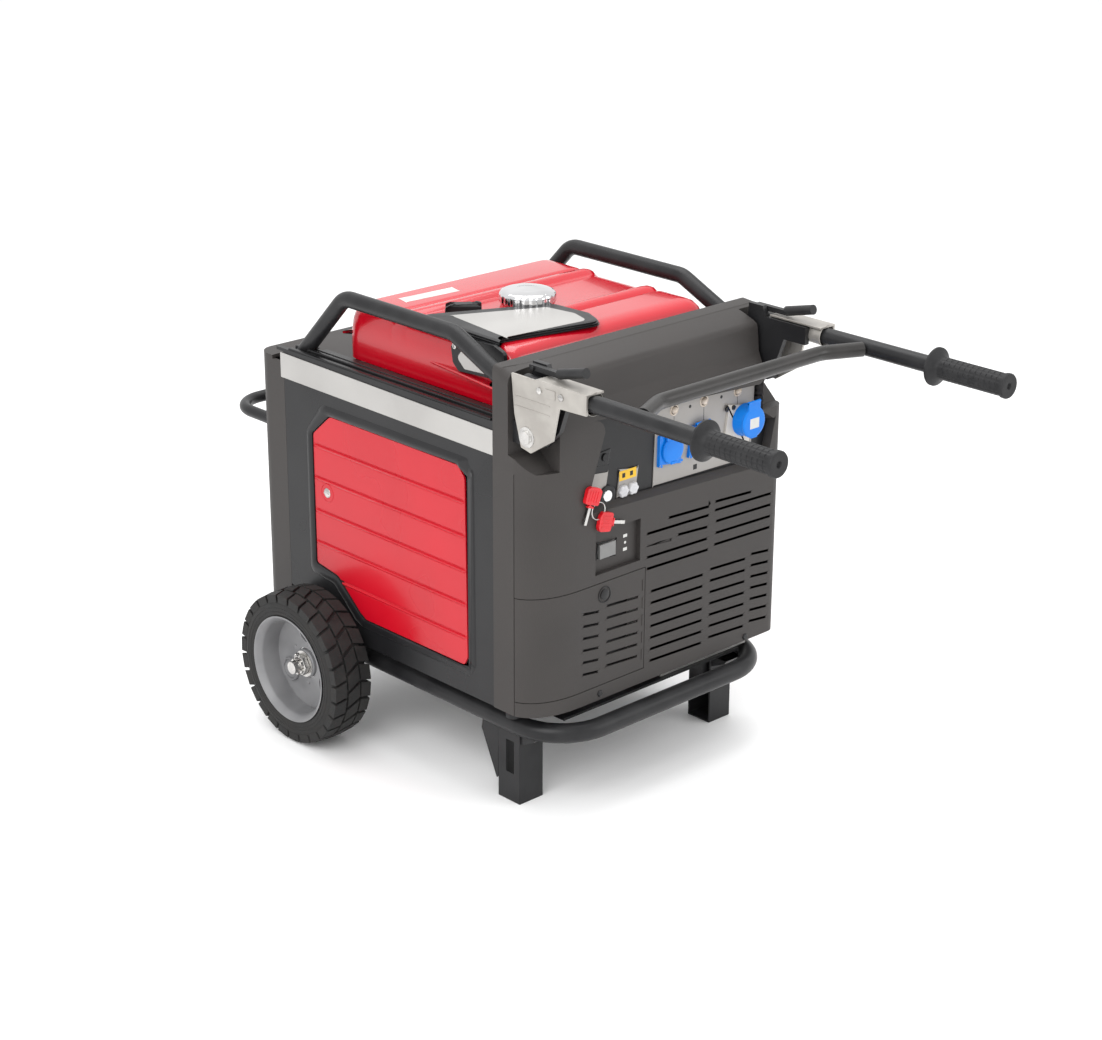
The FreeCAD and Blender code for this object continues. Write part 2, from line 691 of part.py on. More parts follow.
def build_panel():
    """The recessed control panel with its display, sockets, breakers and switches."""
    face = back(D.panel_depth)
    gauge = D.plate_sheet
    left, right = D.panel_left, D.panel_right
    base, high = D.panel_low, D.panel_high
    lock_x, lock_z = -107, 478
    breakers = (30, 94, 168)
    breaker_z = 578
    mode_x, mode_z = -112, 538
    switch_holes = [(x, breaker_z, D.button_radius + 0.6) for x in breakers]
    switch_holes.append((lock_x, lock_z, D.lock_radius + 0.4))
    switch_holes.append((mode_x, mode_z, D.button_radius + 0.6))
    step, step_high = D.panel_step, D.panel_step_high
    rim = [(left - 2, base - 2), (right + 2, base - 2), (right + 2, step_high + 2), (step + 2, step_high + 2),
           (step + 2, high + 2), (left - 2, high + 2)]
    board = plate("XZ_Plane", face + 0.2, gauge, rim, round_holes=switch_holes)
    shelf = block((left + 6, face + 0.2 + gauge, base), (step - 6, face + 55, base + 4))
    box = block((left + 6, face + 32, base), (step - 6, face + 55, high - 6))
    piece("control_plate", join(board, shelf, box))

    shank = [(-3.5, 0), (-3.5, D.button_radius), (8, D.button_radius), (8, 0)]
    piece("display_button", turned(shank, (mode_x, face, mode_z), "y"))
    shank = [(-7, 0), (-7, D.button_radius), (8, D.button_radius), (8, 0)]
    for index, x in enumerate(breakers, start=1):
        piece(f"breaker_button_{index}", turned(shank, (x, face, breaker_z), "y"))

    side = D.outlet_side
    outlet_z = 520
    proud = 7
    lid_face = face - proud - 0.5 - D.lid_thick
    outlets = []
    for index, x in enumerate((21.5, 84.5), start=1):
        low_z = outlet_z - side / 2
        socket = block((x - side / 2, face - proud, low_z), (x + side / 2, face + 0.2, low_z + side))
        well = rod(D.lid_radius - 1, proud - 1, (x, face - proud - 0.5, outlet_z), "y")
        outlets.append(cut(socket, well))
        lid = rod(D.lid_radius + 2, D.lid_thick, (x, lid_face, outlet_z), "y")
        ear = block((x - 9, lid_face, outlet_z + 12), (x + 9, lid_face + D.lid_thick, outlet_z + 28))
        pin = rod(2.4, 18, (x - 9, lid_face + 1.6, outlet_z + 29), "x")
        piece(f"outlet_lid_{index}", join(lid, ear, pin))
    piece("outlets", group(outlets))
    large_x, large_z = 180, 531
    large_reach = 22
    backing = block((134, face - 4, 474), (203, face + 0.2, 562))
    barrel = cut(rod(24, large_reach, (large_x, face - large_reach, large_z), "y"),
                 rod(20, large_reach - 6, (large_x, face - large_reach - 0.5, large_z), "y"))
    piece("large_outlet", join(cut(backing, rod(20, 2, (large_x, face - 5, large_z), "y")), barrel))
    cap_face = face - large_reach - 5.5
    cap = rod(25, 5, (large_x, cap_face, large_z), "y")
    tab = block((large_x - 11, cap_face, large_z + 20), (large_x + 11, cap_face + 5, large_z + 31))
    piece("large_outlet_lid", join(cap, tab, rod(2.6, 22, (large_x - 11, cap_face + 2.5, large_z + 32), "x")))

    plate_small = block((-88, face - 2.5, 464), (-43, face + 0.2, 513))
    jacks = [rod(6.5, 6, (x, face - 8, 478), "y") for x in (-76, -56)]
    piece("parallel_sockets", join(plate_small, *jacks))
    lock_radius = D.lock_radius
    collar = turned([(-4.5, lock_radius + 0.4), (-4.5, 16), (0, 16), (0, lock_radius + 0.4)],
                    (lock_x, face, lock_z), "y")
    piece("key_lock", collar)
    barrel = turned([(-4, 0), (-4, lock_radius), (14, lock_radius), (14, 0)], (lock_x, face, lock_z), "y")
    keyway = block((lock_x - 1.2, face - 5, lock_z - 5), (lock_x + 1.2, face + 6, lock_z + 5))
    piece("key_barrel", cut(barrel, keyway))
    keys = []
    for x, z, tilt in ((-154, 490, 20), (-124, 447, -75)):
        head = rounded(block((-18, 0, -20), (18, 7, 20)), 6, along("y"))
        blade = block((-4, 2.2, -44), (4, 4.8, -20))
        key = join(head, blade)
        keys.append(place(key, (x, front - 7.3, z), Rotation(Point(0, 1, 0), tilt)))
    piece("keys", group(keys))
    half = D.rocker_height / 2
    rocker = block((D.rocker_x - D.rocker_width / 2, back(3), D.rocker_z - half),
                   (D.rocker_x + D.rocker_width / 2, back(14), D.rocker_z + half))
    pin_x = D.rocker_x - D.rocker_width / 2 - 2
    pivot = rod(D.rocker_pin, D.rocker_width + 4, (pin_x, back(9.5), D.rocker_z), "x")
    piece("eco_rocker", join(rocker, pivot))


# ---------------------------------------------------------------- lift handles

def build_handles():
    """Lift tubes with their crossbar, brackets, inner plates, grips, lock levers and pivot bolts."""
    z = D.handle_height
    x = D.handle_half
    tube = D.handle_tube / 2
    tip = front - D.handle_reach
    root = front + 40
    bar_y = front - D.crossbar_out
    cap = 6
    wall = D.tube_wall
    right = cut(rod(tube, root - tip - cap, (x, tip + cap, z), "y"),
                rod(tube - wall, root - tip - cap - 5, (x, tip + cap + 5, z), "y"))
    near_x = x - D.crossbar_spread
    bar_tube = D.handle_tube - 3.4
    bar = [(-x + tube, bar_y - 28, z), (-near_x, bar_y, z), (near_x, bar_y, z), (x - tube, bar_y - 28, z)]
    sides = [rod(tube + 0.2, 60, (side * x, bar_y - 60, z), "y") for side in (-1, 1)]
    crossbar = cut(bent_tube(bar, D.crossbar_bend, bar_tube, wall), *sides)
    piece("handle_tubes", group([right, mirrored(right), crossbar]))

    pivot_y = back(D.pivot_in)
    pivot_z = D.pivot_height
    outer = x + tube + 0.2
    gauge = D.bracket_sheet
    rear_top = back(54)
    far = front - D.bracket_out
    shape = [(rear_top, z + 14), (far, z + 14), (far, z - 14), (front - 42, z - 16),
             (front - 30, pivot_z + 6), (back(14), pivot_z - 22), (back(34), pivot_z - 18),
             (rear_top - 6, pivot_z + 30)]
    eye = (pivot_y, pivot_z, D.pivot_radius + D.run_gap)
    cheek = plate("YZ_Plane", outer, gauge, shape, round_holes=[eye])
    flange_low = z + tube + 0.2
    flange = block((x - tube - 4, far, flange_low), (outer + gauge, back(4), flange_low + 3))
    bracket = join(cheek, flange)
    piece("handle_brackets", group([bracket, mirrored(bracket)]))

    lever_z = z + 22
    lever_y = back(30)
    inner_face = x - tube - 0.3
    web = [(back(42), lever_z + 6), (back(14), lever_z + 6), (back(8), z + 12), (front - 72, z + 12),
           (front - 72, z - 15), (front - 30, z - 15), (front - 12, pivot_z + 8),
           (back(14), pivot_z - 20), (back(34), pivot_z - 14), (back(44), z - 20)]
    web_thick = 9
    inner = plate("YZ_Plane", inner_face - web_thick, web_thick, web, round_holes=[eye])
    stud = rod(D.lever_pin, 14, (inner_face - 1, lever_y, lever_z), "x")
    inner_plate = join(inner, stud)
    piece("inner_plates", group([inner_plate, mirrored(inner_plate)]))

    nut_start = inner_face - web_thick - 5.2
    bolt = rod(D.pivot_radius, outer + gauge + 1 - nut_start, (nut_start, pivot_y, pivot_z), "x")
    head = hexagon(17, 4, (outer + gauge + 0.2, pivot_y, pivot_z), "x")
    nut = hexagon(17, 5, (nut_start, pivot_y, pivot_z), "x")
    pivot = join(bolt, head, nut)
    piece("pivot_bolts", group([pivot, mirrored(pivot)]))

    lever_x = inner_face + 6
    arm = block((lever_x - 4.5, front - 26, lever_z - 3.5), (lever_x + 4.5, back(38), lever_z + 4))
    bore = rod(D.lever_pin + D.run_gap, 20, (lever_x - 10, lever_y, lever_z), "x")
    rise = Rotation(Point(1, 0, 0), 90 - 14)
    knob = rod(7.5, 54, (lever_x + 1, front - 20, lever_z + 2), turn=rise)
    lever = join(cut(arm, bore), knob)
    piece("right_lock_lever", lever)
    piece("left_lock_lever", mirrored(lever))

    length = D.grip_length
    sleeve = [(0, D.flange_radius), (5, D.flange_radius), (7, D.grip_radius + 2),
              (length - 4, D.grip_radius), (length, D.grip_radius - 2), (length, 0), (length - cap, 0),
              (length - cap, tube), (0, tube)]
    grip = turned(sleeve, (x, tip + length, z), "-y")
    piece("handle_grips", group([grip, mirrored(grip)]))


# ---------------------------------------------------------------- engine and alternator

def build_engine():
    """Single-cylinder engine with its alternator, fan, silencer, battery and inverter."""
    axis_z = D.crank_height
    bed_top = D.frame_height + D.cross_tube / 2 + D.bed_plate
    foot_top = bed_top + D.mount_height
    mounts = [rod(D.mount_radius, D.mount_height, (x, back(y), bed_top), "z")
              for x in (-125, 125) for y in (300, 480)]
    piece("rubber_mounts", group(mounts))

    lean = Rotation(Point(0, 1, 0), num(D.barrel_lean))

    def tilted(distance, sideways=0):
        angle = math.radians(num(D.barrel_lean))
        x = distance * math.sin(angle) + sideways * math.cos(angle)
        lift = distance * math.cos(angle) - sideways * math.sin(angle)
        return x, axis_z + lift

    case = block((-105, back(330), foot_top + 12), (105, back(480), axis_z + 95))
    sole = block((-148, back(278), foot_top), (148, back(502), foot_top + 12))
    tunnel = rod(D.crank_radius + 0.3, 260, (0, back(270), axis_z), "y")
    seat_x, seat_z = tilted(95.7)
    seat = rod(50.3, 120, (seat_x, back(405), seat_z), turn=lean)
    starter = rod(28, 110, (-125, back(345), axis_z - 105), "y")
    piece("crankcase", join(cut(join(rounded(case, 18, along("y")), sole), tunnel, seat), starter))

    x, z = tilted(96)
    barrel = rod(50, 88, (x, back(405), z), turn=lean)
    fins = []
    for index in range(6):
        fx, fz = tilted(136.5 + 8.5 * index, -62)
        fin = doc.addObject("Part::Box", "fin")
        fin.Length, fin.Width, fin.Height = 124, 124, 3
        fins.append(place(fin, (fx, back(343), fz), lean))
    piece("cylinder", join(barrel, *fins))
    hx, hz = tilted(184.3, -58)
    head = doc.addObject("Part::Box", "head")
    head.Length, head.Width, head.Height = 116, 116, 38
    piece("cylinder_head", place(head, (hx, back(347), hz), lean))
    duct = rod(19, 100, (-60, back(405), 548), "x")
    flange = rod(26, 12, (-60, back(405), 548), "x")
    piece("carburettor", cut(join(duct, flange), head))

    shaft = rod(D.crank_radius, 330, (0, back(165), axis_z), "y")
    piece("crankshaft", shaft)
    hub = D.crank_radius
    rotor = [(0, hub + 0.02), (0, D.rotor_radius), (86, D.rotor_radius), (86, D.rotor_radius - 10),
             (8, D.rotor_radius - 10), (8, 26), (30, 26), (30, hub + 0.02)]
    piece("alternator_rotor", turned(rotor, (0, back(226), axis_z), "y"))
    core = [(0, 30), (0, D.stator_radius), (58, D.stator_radius), (58, 30)]
    carrier = [(58, 32), (58, 52), (78, 52), (78, 32)]
    stator_at = (0, back(252), axis_z)
    piece("alternator_stator", join(turned(core, stator_at, "y"), turned(carrier, stator_at, "y")))

    blades = []
    for index in range(9):
        angle = math.radians(40 * index)
        blade = doc.addObject("Part::Box", "blade")
        bind(blade, "Length", D.fan_radius - 20)
        blade.Width, blade.Height = 26, 3
        corner_x = 20 * math.cos(angle) - 1.5 * math.sin(angle)
        corner_z = -20 * math.sin(angle) - 1.5 * math.cos(angle)
        at = (corner_x, back(186), axis_z + corner_z)
        blades.append(place(blade, at, Rotation(Point(0, 1, 0), 40 * index)))
    boss = [(0, hub + 0.02), (0, 24), (26, 24), (30, 60), (34, 60), (34, hub + 0.02)]
    piece("cooling_fan", join(turned(boss, (0, back(186), axis_z), "y"), *blades))
    outer = D.fan_radius + 8
    shroud = [(0, D.fan_radius - 25), (0, outer + 3), (152, outer + 3), (152, outer), (3, outer),
              (3, D.fan_radius - 25)]
    piece("fan_shroud", turned(shroud, (0, back(178), axis_z), "y"))

    piece("battery", rounded(block((-150, back(24), bed_top), (-50, back(56), bed_top + 170)), 4, along("z")))
    unit = block((20, back(20), bed_top), (212, back(70), 400))
    vanes = [block((24 + 16 * i, back(70), bed_top + 4), (27 + 16 * i, back(100), 396)) for i in range(12)]
    piece("inverter_unit", join(unit, *vanes))
    air_box = block((-210, back(340), 480), (-60, back(470), D.tank_low - 9))
    piece("air_cleaner", rounded(air_box, 10, along("y")))
    can = rounded(block((-70, back(512), 240), (195, back(628), 372)), 16, along("x"))
    pipe_z = axis_z + 190
    pipe = bent_tube([(110, back(463), pipe_z), (110, back(570), pipe_z), (110, back(570), 372)], 30, 28, 2)
    tail = cut(rod(D.tail_radius, 40, (D.tail_x, back(628), D.tail_z), "y"),
               rod(D.tail_radius - 4, 42, (D.tail_x, back(629), D.tail_z), "y"))
    piece("silencer", join(can, tail, pipe))
    piece("fuel_pump", rod(20, 60, (-60, back(160), D.tank_low - 20), "y"))


for build in (build_frame, build_legs, build_wheels, build_front_shell, build_side_covers, build_tank,
              build_panel, build_handles, build_engine):
    build()

doc.recompute()
broken = [f"{o.Name} ({o.Label})" for o in doc.Objects if "Invalid" in o.State or "Error" in o.State]
if broken:
    raise RuntimeError("failed objects: " + ", ".join(broken))
for label, thing in pieces.items():
    if thing.Shape.isNull() or not thing.Shape.isValid() or not thing.Shape.Solids:
        raise RuntimeError("bad shape: " + label)
os.makedirs("parts", exist_ok=True)
for label, thing in pieces.items():
    thing.Shape.exportStep(f"parts/{label}.step")
    print(f"{label:24s} solids {len(thing.Shape.Solids):3d} volume {thing.Shape.Volume / 1000:10.1f} cm3")
print(len(pieces), "pieces")
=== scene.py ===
import math

import bmesh
import bpy
from mathutils import Matrix, Vector


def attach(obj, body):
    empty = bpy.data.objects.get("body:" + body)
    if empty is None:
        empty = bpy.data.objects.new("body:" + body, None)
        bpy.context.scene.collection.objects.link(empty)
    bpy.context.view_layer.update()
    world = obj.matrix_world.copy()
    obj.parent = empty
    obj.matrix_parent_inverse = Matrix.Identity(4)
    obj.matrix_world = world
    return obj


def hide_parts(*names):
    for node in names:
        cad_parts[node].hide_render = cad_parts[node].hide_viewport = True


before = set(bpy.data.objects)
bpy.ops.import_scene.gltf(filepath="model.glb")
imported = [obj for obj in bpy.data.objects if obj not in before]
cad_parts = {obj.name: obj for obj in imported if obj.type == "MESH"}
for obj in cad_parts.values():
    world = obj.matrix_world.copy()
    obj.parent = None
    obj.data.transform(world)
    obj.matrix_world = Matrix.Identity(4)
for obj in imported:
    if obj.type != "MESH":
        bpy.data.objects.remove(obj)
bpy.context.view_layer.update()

# ---- Studio
# A pale floor with a white surround, one large soft light from the left, a smaller one from the
# right and one from above, and a camera that stands to the left of the control panel.
scene = bpy.context.scene
scene.view_settings.view_transform = "Standard"

yaw, pitch, roll = (math.radians(angle) for angle in (44.30, 20.74, 0.56))
ahead = Vector((math.sin(yaw) * math.cos(pitch), math.cos(yaw) * math.cos(pitch), -math.sin(pitch)))
level = Vector((math.cos(yaw), -math.sin(yaw), 0))
upright = level.cross(ahead)
across = level * math.cos(roll) + upright * math.sin(roll)
upward = upright * math.cos(roll) - level * math.sin(roll)
camera = bpy.data.objects.new("studio_camera", bpy.data.cameras.new("studio_camera"))
camera.data.lens = 77.89
camera.data.sensor_width = 36
camera.data.shift_x = -0.0331
camera.data.shift_y = -0.0054
turn = Matrix((across, upward, -ahead)).transposed().to_4x4()
camera.matrix_world = Matrix.Translation((-2.3883, -2.4549, 1.6754)) @ turn
scene.collection.objects.link(camera)
scene.camera = camera


def soft_light(name, size, power, at, aim):
    """A square area light that points at a place."""
    lamp = bpy.data.lights.new(name, "AREA")
    lamp.size = size
    lamp.energy = power
    holder = bpy.data.objects.new(name, lamp)
    holder.location = at
    holder.rotation_euler = (Vector(aim) - Vector(at)).to_track_quat("-Z", "Y").to_euler()
    scene.collection.objects.link(holder)


soft_light("key_light", 2.2, 62, (-2.6, -0.9, 2.4), (0, 0, 0.4))
soft_light("side_light", 1.6, 22, (1.6, -2.6, 1.7), (0, 0, 0.4))
soft_light("top_light", 2.0, 40, (0.4, 0.6, 2.9), (0, 0, 0.5))

surround = bpy.data.worlds.new("surround")
surround.use_nodes = True
surround.node_tree.nodes["Background"].inputs["Color"].default_value = (1, 1, 1, 1)
surround.node_tree.nodes["Background"].inputs["Strength"].default_value = 1.08
scene.world = surround

floor_mesh = bpy.data.meshes.new("studio_floor")
reach = 9
floor_mesh.from_pydata([(-reach, -reach, 0), (reach, -reach, 0), (reach, reach, 0), (-reach, reach, 0)],
                       [], [(0, 1, 2, 3)])
floor = bpy.data.objects.new("studio_floor", floor_mesh)
floor_paper = bpy.data.materials.new("studio_paper")
floor_paper.use_nodes = True
floor_paper.node_tree.nodes["Principled BSDF"].inputs["Base Color"].default_value = (0.93, 0.93, 0.93, 1)
floor_paper.node_tree.nodes["Principled BSDF"].inputs["Roughness"].default_value = 0.9
floor_mesh.materials.append(floor_paper)
scene.collection.objects.link(floor)

# ---- Frame tubes: bottom frame, roll hoops, rear bar and lift tubes
# Bent steel tube with a satin black powder coat, welded at the joints. The coat has a fine orange
# peel and small changes of gloss; the crossbar of the lift tubes gets a slightly lighter, glossier copy of
# it, a painted highlight.


def shader_group(name, takes, gives):
    """An empty node group with float or vector inputs and its outputs."""
    tree = bpy.data.node_groups.new(name, "ShaderNodeTree")
    for label, kind, value in takes:
        socket = tree.interface.new_socket(label, in_out="INPUT", socket_type=kind)
        if value is not None:
            socket.default_value = value
    for label in gives:
        tree.interface.new_socket(label, in_out="OUTPUT", socket_type="NodeSocketFloat")
    return tree, tree.nodes.new("NodeGroupInput"), tree.nodes.new("NodeGroupOutput")


def make_skin_group():
    """Fine grain as a height, and slow patches of tone, from the place on the piece."""
    tree, enter, leave = shader_group(
        "moulded_skin",
        [("Place", "NodeSocketVector", None), ("Grain Size", "NodeSocketFloat", 0.0008),
         ("Patch Size", "NodeSocketFloat", 0.08)],
        ["Height", "Patch", "Speck"])
    heights = {}
    for label, kind in (("Grain Size", "noise"), ("Grain Size", "cells"), ("Patch Size", "patch")):
        scale = tree.nodes.new("ShaderNodeMath")
        scale.operation = "DIVIDE"
        scale.inputs[0].default_value = 1.0 if kind != "cells" else 0.6
        tree.links.new(enter.outputs[label], scale.inputs[1])
        texture = tree.nodes.new("ShaderNodeTexVoronoi" if kind == "cells" else "ShaderNodeTexNoise")
        tree.links.new(enter.outputs["Place"], texture.inputs["Vector"])
        tree.links.new(scale.outputs[0], texture.inputs["Scale"])
        heights[kind] = texture.outputs["Distance" if kind == "cells" else "Fac"]
    blend = tree.nodes.new("ShaderNodeMath")
    blend.operation = "MULTIPLY_ADD"
    blend.inputs[1].default_value = 0.6
    tree.links.new(heights["cells"], blend.inputs[0])
    tree.links.new(heights["noise"], blend.inputs[2])
    tree.links.new(blend.outputs[0], leave.inputs["Height"])
    for kind, label, low, high in (("patch", "Patch", 0.35, 0.65), ("noise", "Speck", 0.62, 0.78)):
        spread = tree.nodes.new("ShaderNodeMapRange")
        spread.inputs["From Min"].default_value = low
        spread.inputs["From Max"].default_value = high
        tree.links.new(heights[kind], spread.inputs["Value"])
        tree.links.new(spread.outputs["Result"], leave.inputs[label])
    return tree


moulded_skin = make_skin_group()


def surface(name, dark, light, rough, grain=0.0008, depth=0.12, patch=0.08, speck=0.0, **plain):
    """A material whose tone, gloss and fine grain change over the piece; plain sockets are constants."""
    material = bpy.data.materials.new(name)
    material.use_nodes = True
    tree = material.node_tree
    shader = tree.nodes["Principled BSDF"]
    place = tree.nodes.new("ShaderNodeTexCoord")
    skin = tree.nodes.new("ShaderNodeGroup")
    skin.node_tree = moulded_skin
    skin.inputs["Grain Size"].default_value = grain
    skin.inputs["Patch Size"].default_value = patch
    tree.links.new(place.outputs["Object"], skin.inputs["Place"])
    tone = tree.nodes.new("ShaderNodeMix")
    tone.data_type = "RGBA"
    tone.inputs["A"].default_value = (*dark, 1)
    tone.inputs["B"].default_value = (*light, 1)
    tree.links.new(skin.outputs["Patch"], tone.inputs["Factor"])
    colour = tone.outputs["Result"]
    if speck:
        fleck = tree.nodes.new("ShaderNodeMix")
        fleck.data_type = "RGBA"
        share = tree.nodes.new("ShaderNodeMath")
        share.operation = "MULTIPLY"
        share.inputs[1].default_value = speck
        tree.links.new(skin.outputs["Speck"], share.inputs[0])
        tree.links.new(share.outputs[0], fleck.inputs["Factor"])
        tree.links.new(colour, fleck.inputs["A"])
        fleck.inputs["B"].default_value = (*[min(1, 2.2 * c + 0.02) for c in light], 1)
        colour = fleck.outputs["Result"]
    tree.links.new(colour, shader.inputs["Base Color"])
    gloss = tree.nodes.new("ShaderNodeMapRange")
    gloss.inputs["To Min"].default_value, gloss.inputs["To Max"].default_value = rough
    tree.links.new(skin.outputs["Patch"], gloss.inputs["Value"])
    tree.links.new(gloss.outputs["Result"], shader.inputs["Roughness"])
    bump = tree.nodes.new("ShaderNodeBump")
    bump.inputs["Strength"].default_value = depth
    bump.inputs["Distance"].default_value = grain
    tree.links.new(skin.outputs["Height"], bump.inputs["Height"])
    tree.links.new(bump.outputs["Normal"], shader.inputs["Normal"])
    for label, value in plain.items():
        shader.inputs[label.replace("_", " ")].default_value = value
    return material


def dress(material, *nodes):
    """Gives carried-over pieces their material."""
    for node in nodes:
        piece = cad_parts[node]
        if piece.material_slots:
            for holder in piece.material_slots:
                holder.material = material
        else:
            piece.data.materials.append(material)


powder_black = surface("powder_black", (0.012, 0.012, 0.013), (0.019, 0.019, 0.020), (0.33, 0.42),
                       grain=0.0011, depth=0.10, patch=0.05, Specular_IOR_Level=0.25)
# A lighter, glossier copy of powder_black: painted highlight for the sheen on the lift tubes' crossbar.
crossbar_painted_sheen = surface("crossbar_painted_sheen", (0.020, 0.019, 0.018), (0.028, 0.026, 0.025), (0.30, 0.38),
                        grain=0.0011, depth=0.10, patch=0.05, Specular_IOR_Level=0.35)
dress(powder_black, "bottom_frame", "roll_hoops", "rear_bar", "handle_tubes")

# ---- Side covers
# Satin black pressed covers with a wide top ledge. A rounded border is pressed up around each door
# opening, two channels run along the ledge, and the flanges are screwed to the roll hoops.


def smooth_corners(points, radii, steps=6):
    """The outline with an arc in place of each corner, always with the same number of points."""
    spots = [Vector(p) for p in points]
    result = []
    for i, corner in enumerate(spots):
        before = (spots[i - 1] - corner).normalized()
        after = (spots[(i + 1) % len(spots)] - corner).normalized()
        radius = radii[i] if isinstance(radii, (list, tuple)) else radii
        half = before.angle(after) / 2
        reach = radius / math.tan(half)
        centre = corner + (before + after).normalized() * radius / math.sin(half)
        start = corner + before * reach - centre
        sweep = math.pi - 2 * half
        side = 1 if start.x * after.y - start.y * after.x > 0 else -1
        for k in range(steps + 1):
            angle = side * sweep * k / steps
            result.append(Vector((
                centre.x + start.x * math.cos(angle) - start.y * math.sin(angle),
                centre.y + start.x * math.sin(angle) + start.y * math.cos(angle))))
    return result


def rounded(left, low, right, high, radius, steps):
    """The outline of a rectangle with rounded corners."""
    return smooth_corners([(left, low), (right, low), (right, high), (left, high)], radius, steps)


def outward(shape):
    """Turns the faces of a shape outwards."""
    bmesh.ops.recalc_face_normals(shape, faces=shape.faces)
    return shape


def join_rings(shape, rings, ends=False):
    """Faces between each ring of points and the next, and over the first and the last."""
    for first, last in zip(rings, rings[1:]):
        for k in range(len(first)):
            after = (k + 1) % len(first)
            shape.faces.new((first[k], first[after], last[after], last[k]))
    if ends:
        shape.faces.new(rings[0])
        shape.faces.new(rings[-1])
    return outward(shape)


def in_plane(plane, u, v, w):
    """A point from two places in a plane and one across it."""
    return {"yz": (w, u, v), "xz": (u, w, v), "xy": (u, v, w)}[plane]


def prism(points, plane, start, thick):
    """A solid between two copies of an outline."""
    shape = bmesh.new()
    rings = [[shape.verts.new(in_plane(plane, p[0], p[1], w)) for p in points]
             for w in (start, start + thick)]
    shape.faces.new(rings[0])
    shape.faces.new(rings[1])
    for i in range(len(points)):
        j = (i + 1) % len(points)
        shape.faces.new((rings[0][i], rings[0][j], rings[1][j], rings[1][i]))
    return outward(shape)


def slab(low, high, soft=0.0, steps=2):
    """A block with softened edges."""
    shape = prism([(low[0], low[1]), (high[0], low[1]), (high[0], high[1]), (low[0], high[1])],
                  "xy", low[2], high[2] - low[2])
    if soft:
        bmesh.ops.bevel(shape, geom=shape.edges[:], offset=soft, segments=steps, profile=0.5,
                        affect="EDGES")
    return shape


def lathe(profile, at, axis="x", steps=48):
    """A turned solid: the profile is (place along the axis, radius) and closes on itself."""
    shape = bmesh.new()
    rings = []
    for along, radius in profile:
        if radius < 1e-6:
            rings.append([shape.verts.new((along, 0, 0))])
            continue
        ring = []
        for k in range(steps):
            angle = 2 * math.pi * k / steps
            ring.append(shape.verts.new((along, radius * math.cos(angle), radius * math.sin(angle))))
        rings.append(ring)
    pairs = list(zip(rings, rings[1:]))
    if len(rings[0]) > 1 and len(rings[-1]) > 1:
        pairs.append((rings[-1], rings[0]))
    for first, last in pairs:
        for k in range(steps):
            after = (k + 1) % steps
            if len(first) == 1 and len(last) == 1:
                break
            if len(first) == 1:
                shape.faces.new((first[0], last[k], last[after]))
            elif len(last) == 1:
                shape.faces.new((first[k], last[0], first[after]))
            else:
                shape.faces.new((first[k], last[k], last[after], first[after]))
    outward(shape)
    turns = {"x": Matrix(), "-x": Matrix.Rotation(math.pi, 4, "Z"),
             "y": Matrix.Rotation(math.pi / 2, 4, "Z"), "-y": Matrix.Rotation(-math.pi / 2, 4, "Z"),
             "z": Matrix.Rotation(-math.pi / 2, 4, "Y")}
    shape.transform(Matrix.Translation(at) @ turns[axis])
    return shape


def together(*shapes):
    """Several shapes as one; the given shapes are used up."""
    whole = bmesh.new()
    for shape in shapes:
        step = bpy.data.meshes.new("step")
        shape.to_mesh(step)
        shape.free()
        whole.from_mesh(step)
        bpy.data.meshes.remove(step)
    return whole


def mirrored(shape):
    """A copy of a shape on the other side of the machine."""
    twin = shape.copy()
    twin.transform(Matrix.Scale(-1, 4, (1, 0, 0)))
    bmesh.ops.reverse_faces(twin, faces=twin.faces[:])
    return twin


def both_sides(shape):
    """A shape together with its mirror image; the given shape is used up."""
    return together(shape, mirrored(shape))


def made(name, shape, material, body, stands_for=(), edge=0.0, smooth=35):
    """Turns a shape in millimetres into a piece of the machine."""
    shape.transform(Matrix.Scale(0.001, 4))
    mesh = bpy.data.meshes.new(name)
    for face in shape.faces:
        face.smooth = True
    shape.to_mesh(mesh)
    shape.free()
    mesh.materials.append(material)
    piece = bpy.data.objects.new(name, mesh)
    scene.collection.objects.link(piece)
    if edge:
        soften = piece.modifiers.new("edge", "BEVEL")
        soften.width = edge / 1000
        soften.segments = 2
        soften.limit_method = "ANGLE"
        soften.angle_limit = math.radians(smooth)
        soften.harden_normals = True
        soften.use_clamp_overlap = True
    else:
        mesh.set_sharp_from_angle(angle=math.radians(smooth))
    flats = piece.modifiers.new("flats", "WEIGHTED_NORMAL")
    flats.keep_sharp = True
    flats.weight = 80
    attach(piece, body)
    if stands_for:
        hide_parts(*stands_for)
    return piece


def softened(node, name, material, body, edge=0.8):
    """A carried-over shape with its hard edges rounded."""
    shape = bmesh.new()
    shape.from_mesh(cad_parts[node].data)
    shape.transform(Matrix.Scale(1000, 4))
    bmesh.ops.remove_doubles(shape, verts=shape.verts, dist=0.002)
    bmesh.ops.dissolve_limit(shape, angle_limit=math.radians(1), verts=shape.verts, edges=shape.edges)
    return made(name, shape, material, body, stands_for=(node,), edge=edge)


def between(inner, outer, plane, levels):
    """A band between two outlines; levels are (share of the way out, place across the plane)."""
    shape = bmesh.new()
    rows = []
    for share, across_plane in levels:
        rows.append([shape.verts.new(in_plane(plane, *a.lerp(b, share), across_plane))
                     for a, b in zip(inner, outer)])
    return join_rings(shape, rows + rows[:1])


satin_black = surface("satin_black", (0.010, 0.010, 0.011), (0.016, 0.016, 0.017), (0.26, 0.36),
                      grain=0.0012, depth=0.06, patch=0.12, Specular_IOR_Level=0.28)
dress(satin_black, "side_covers")

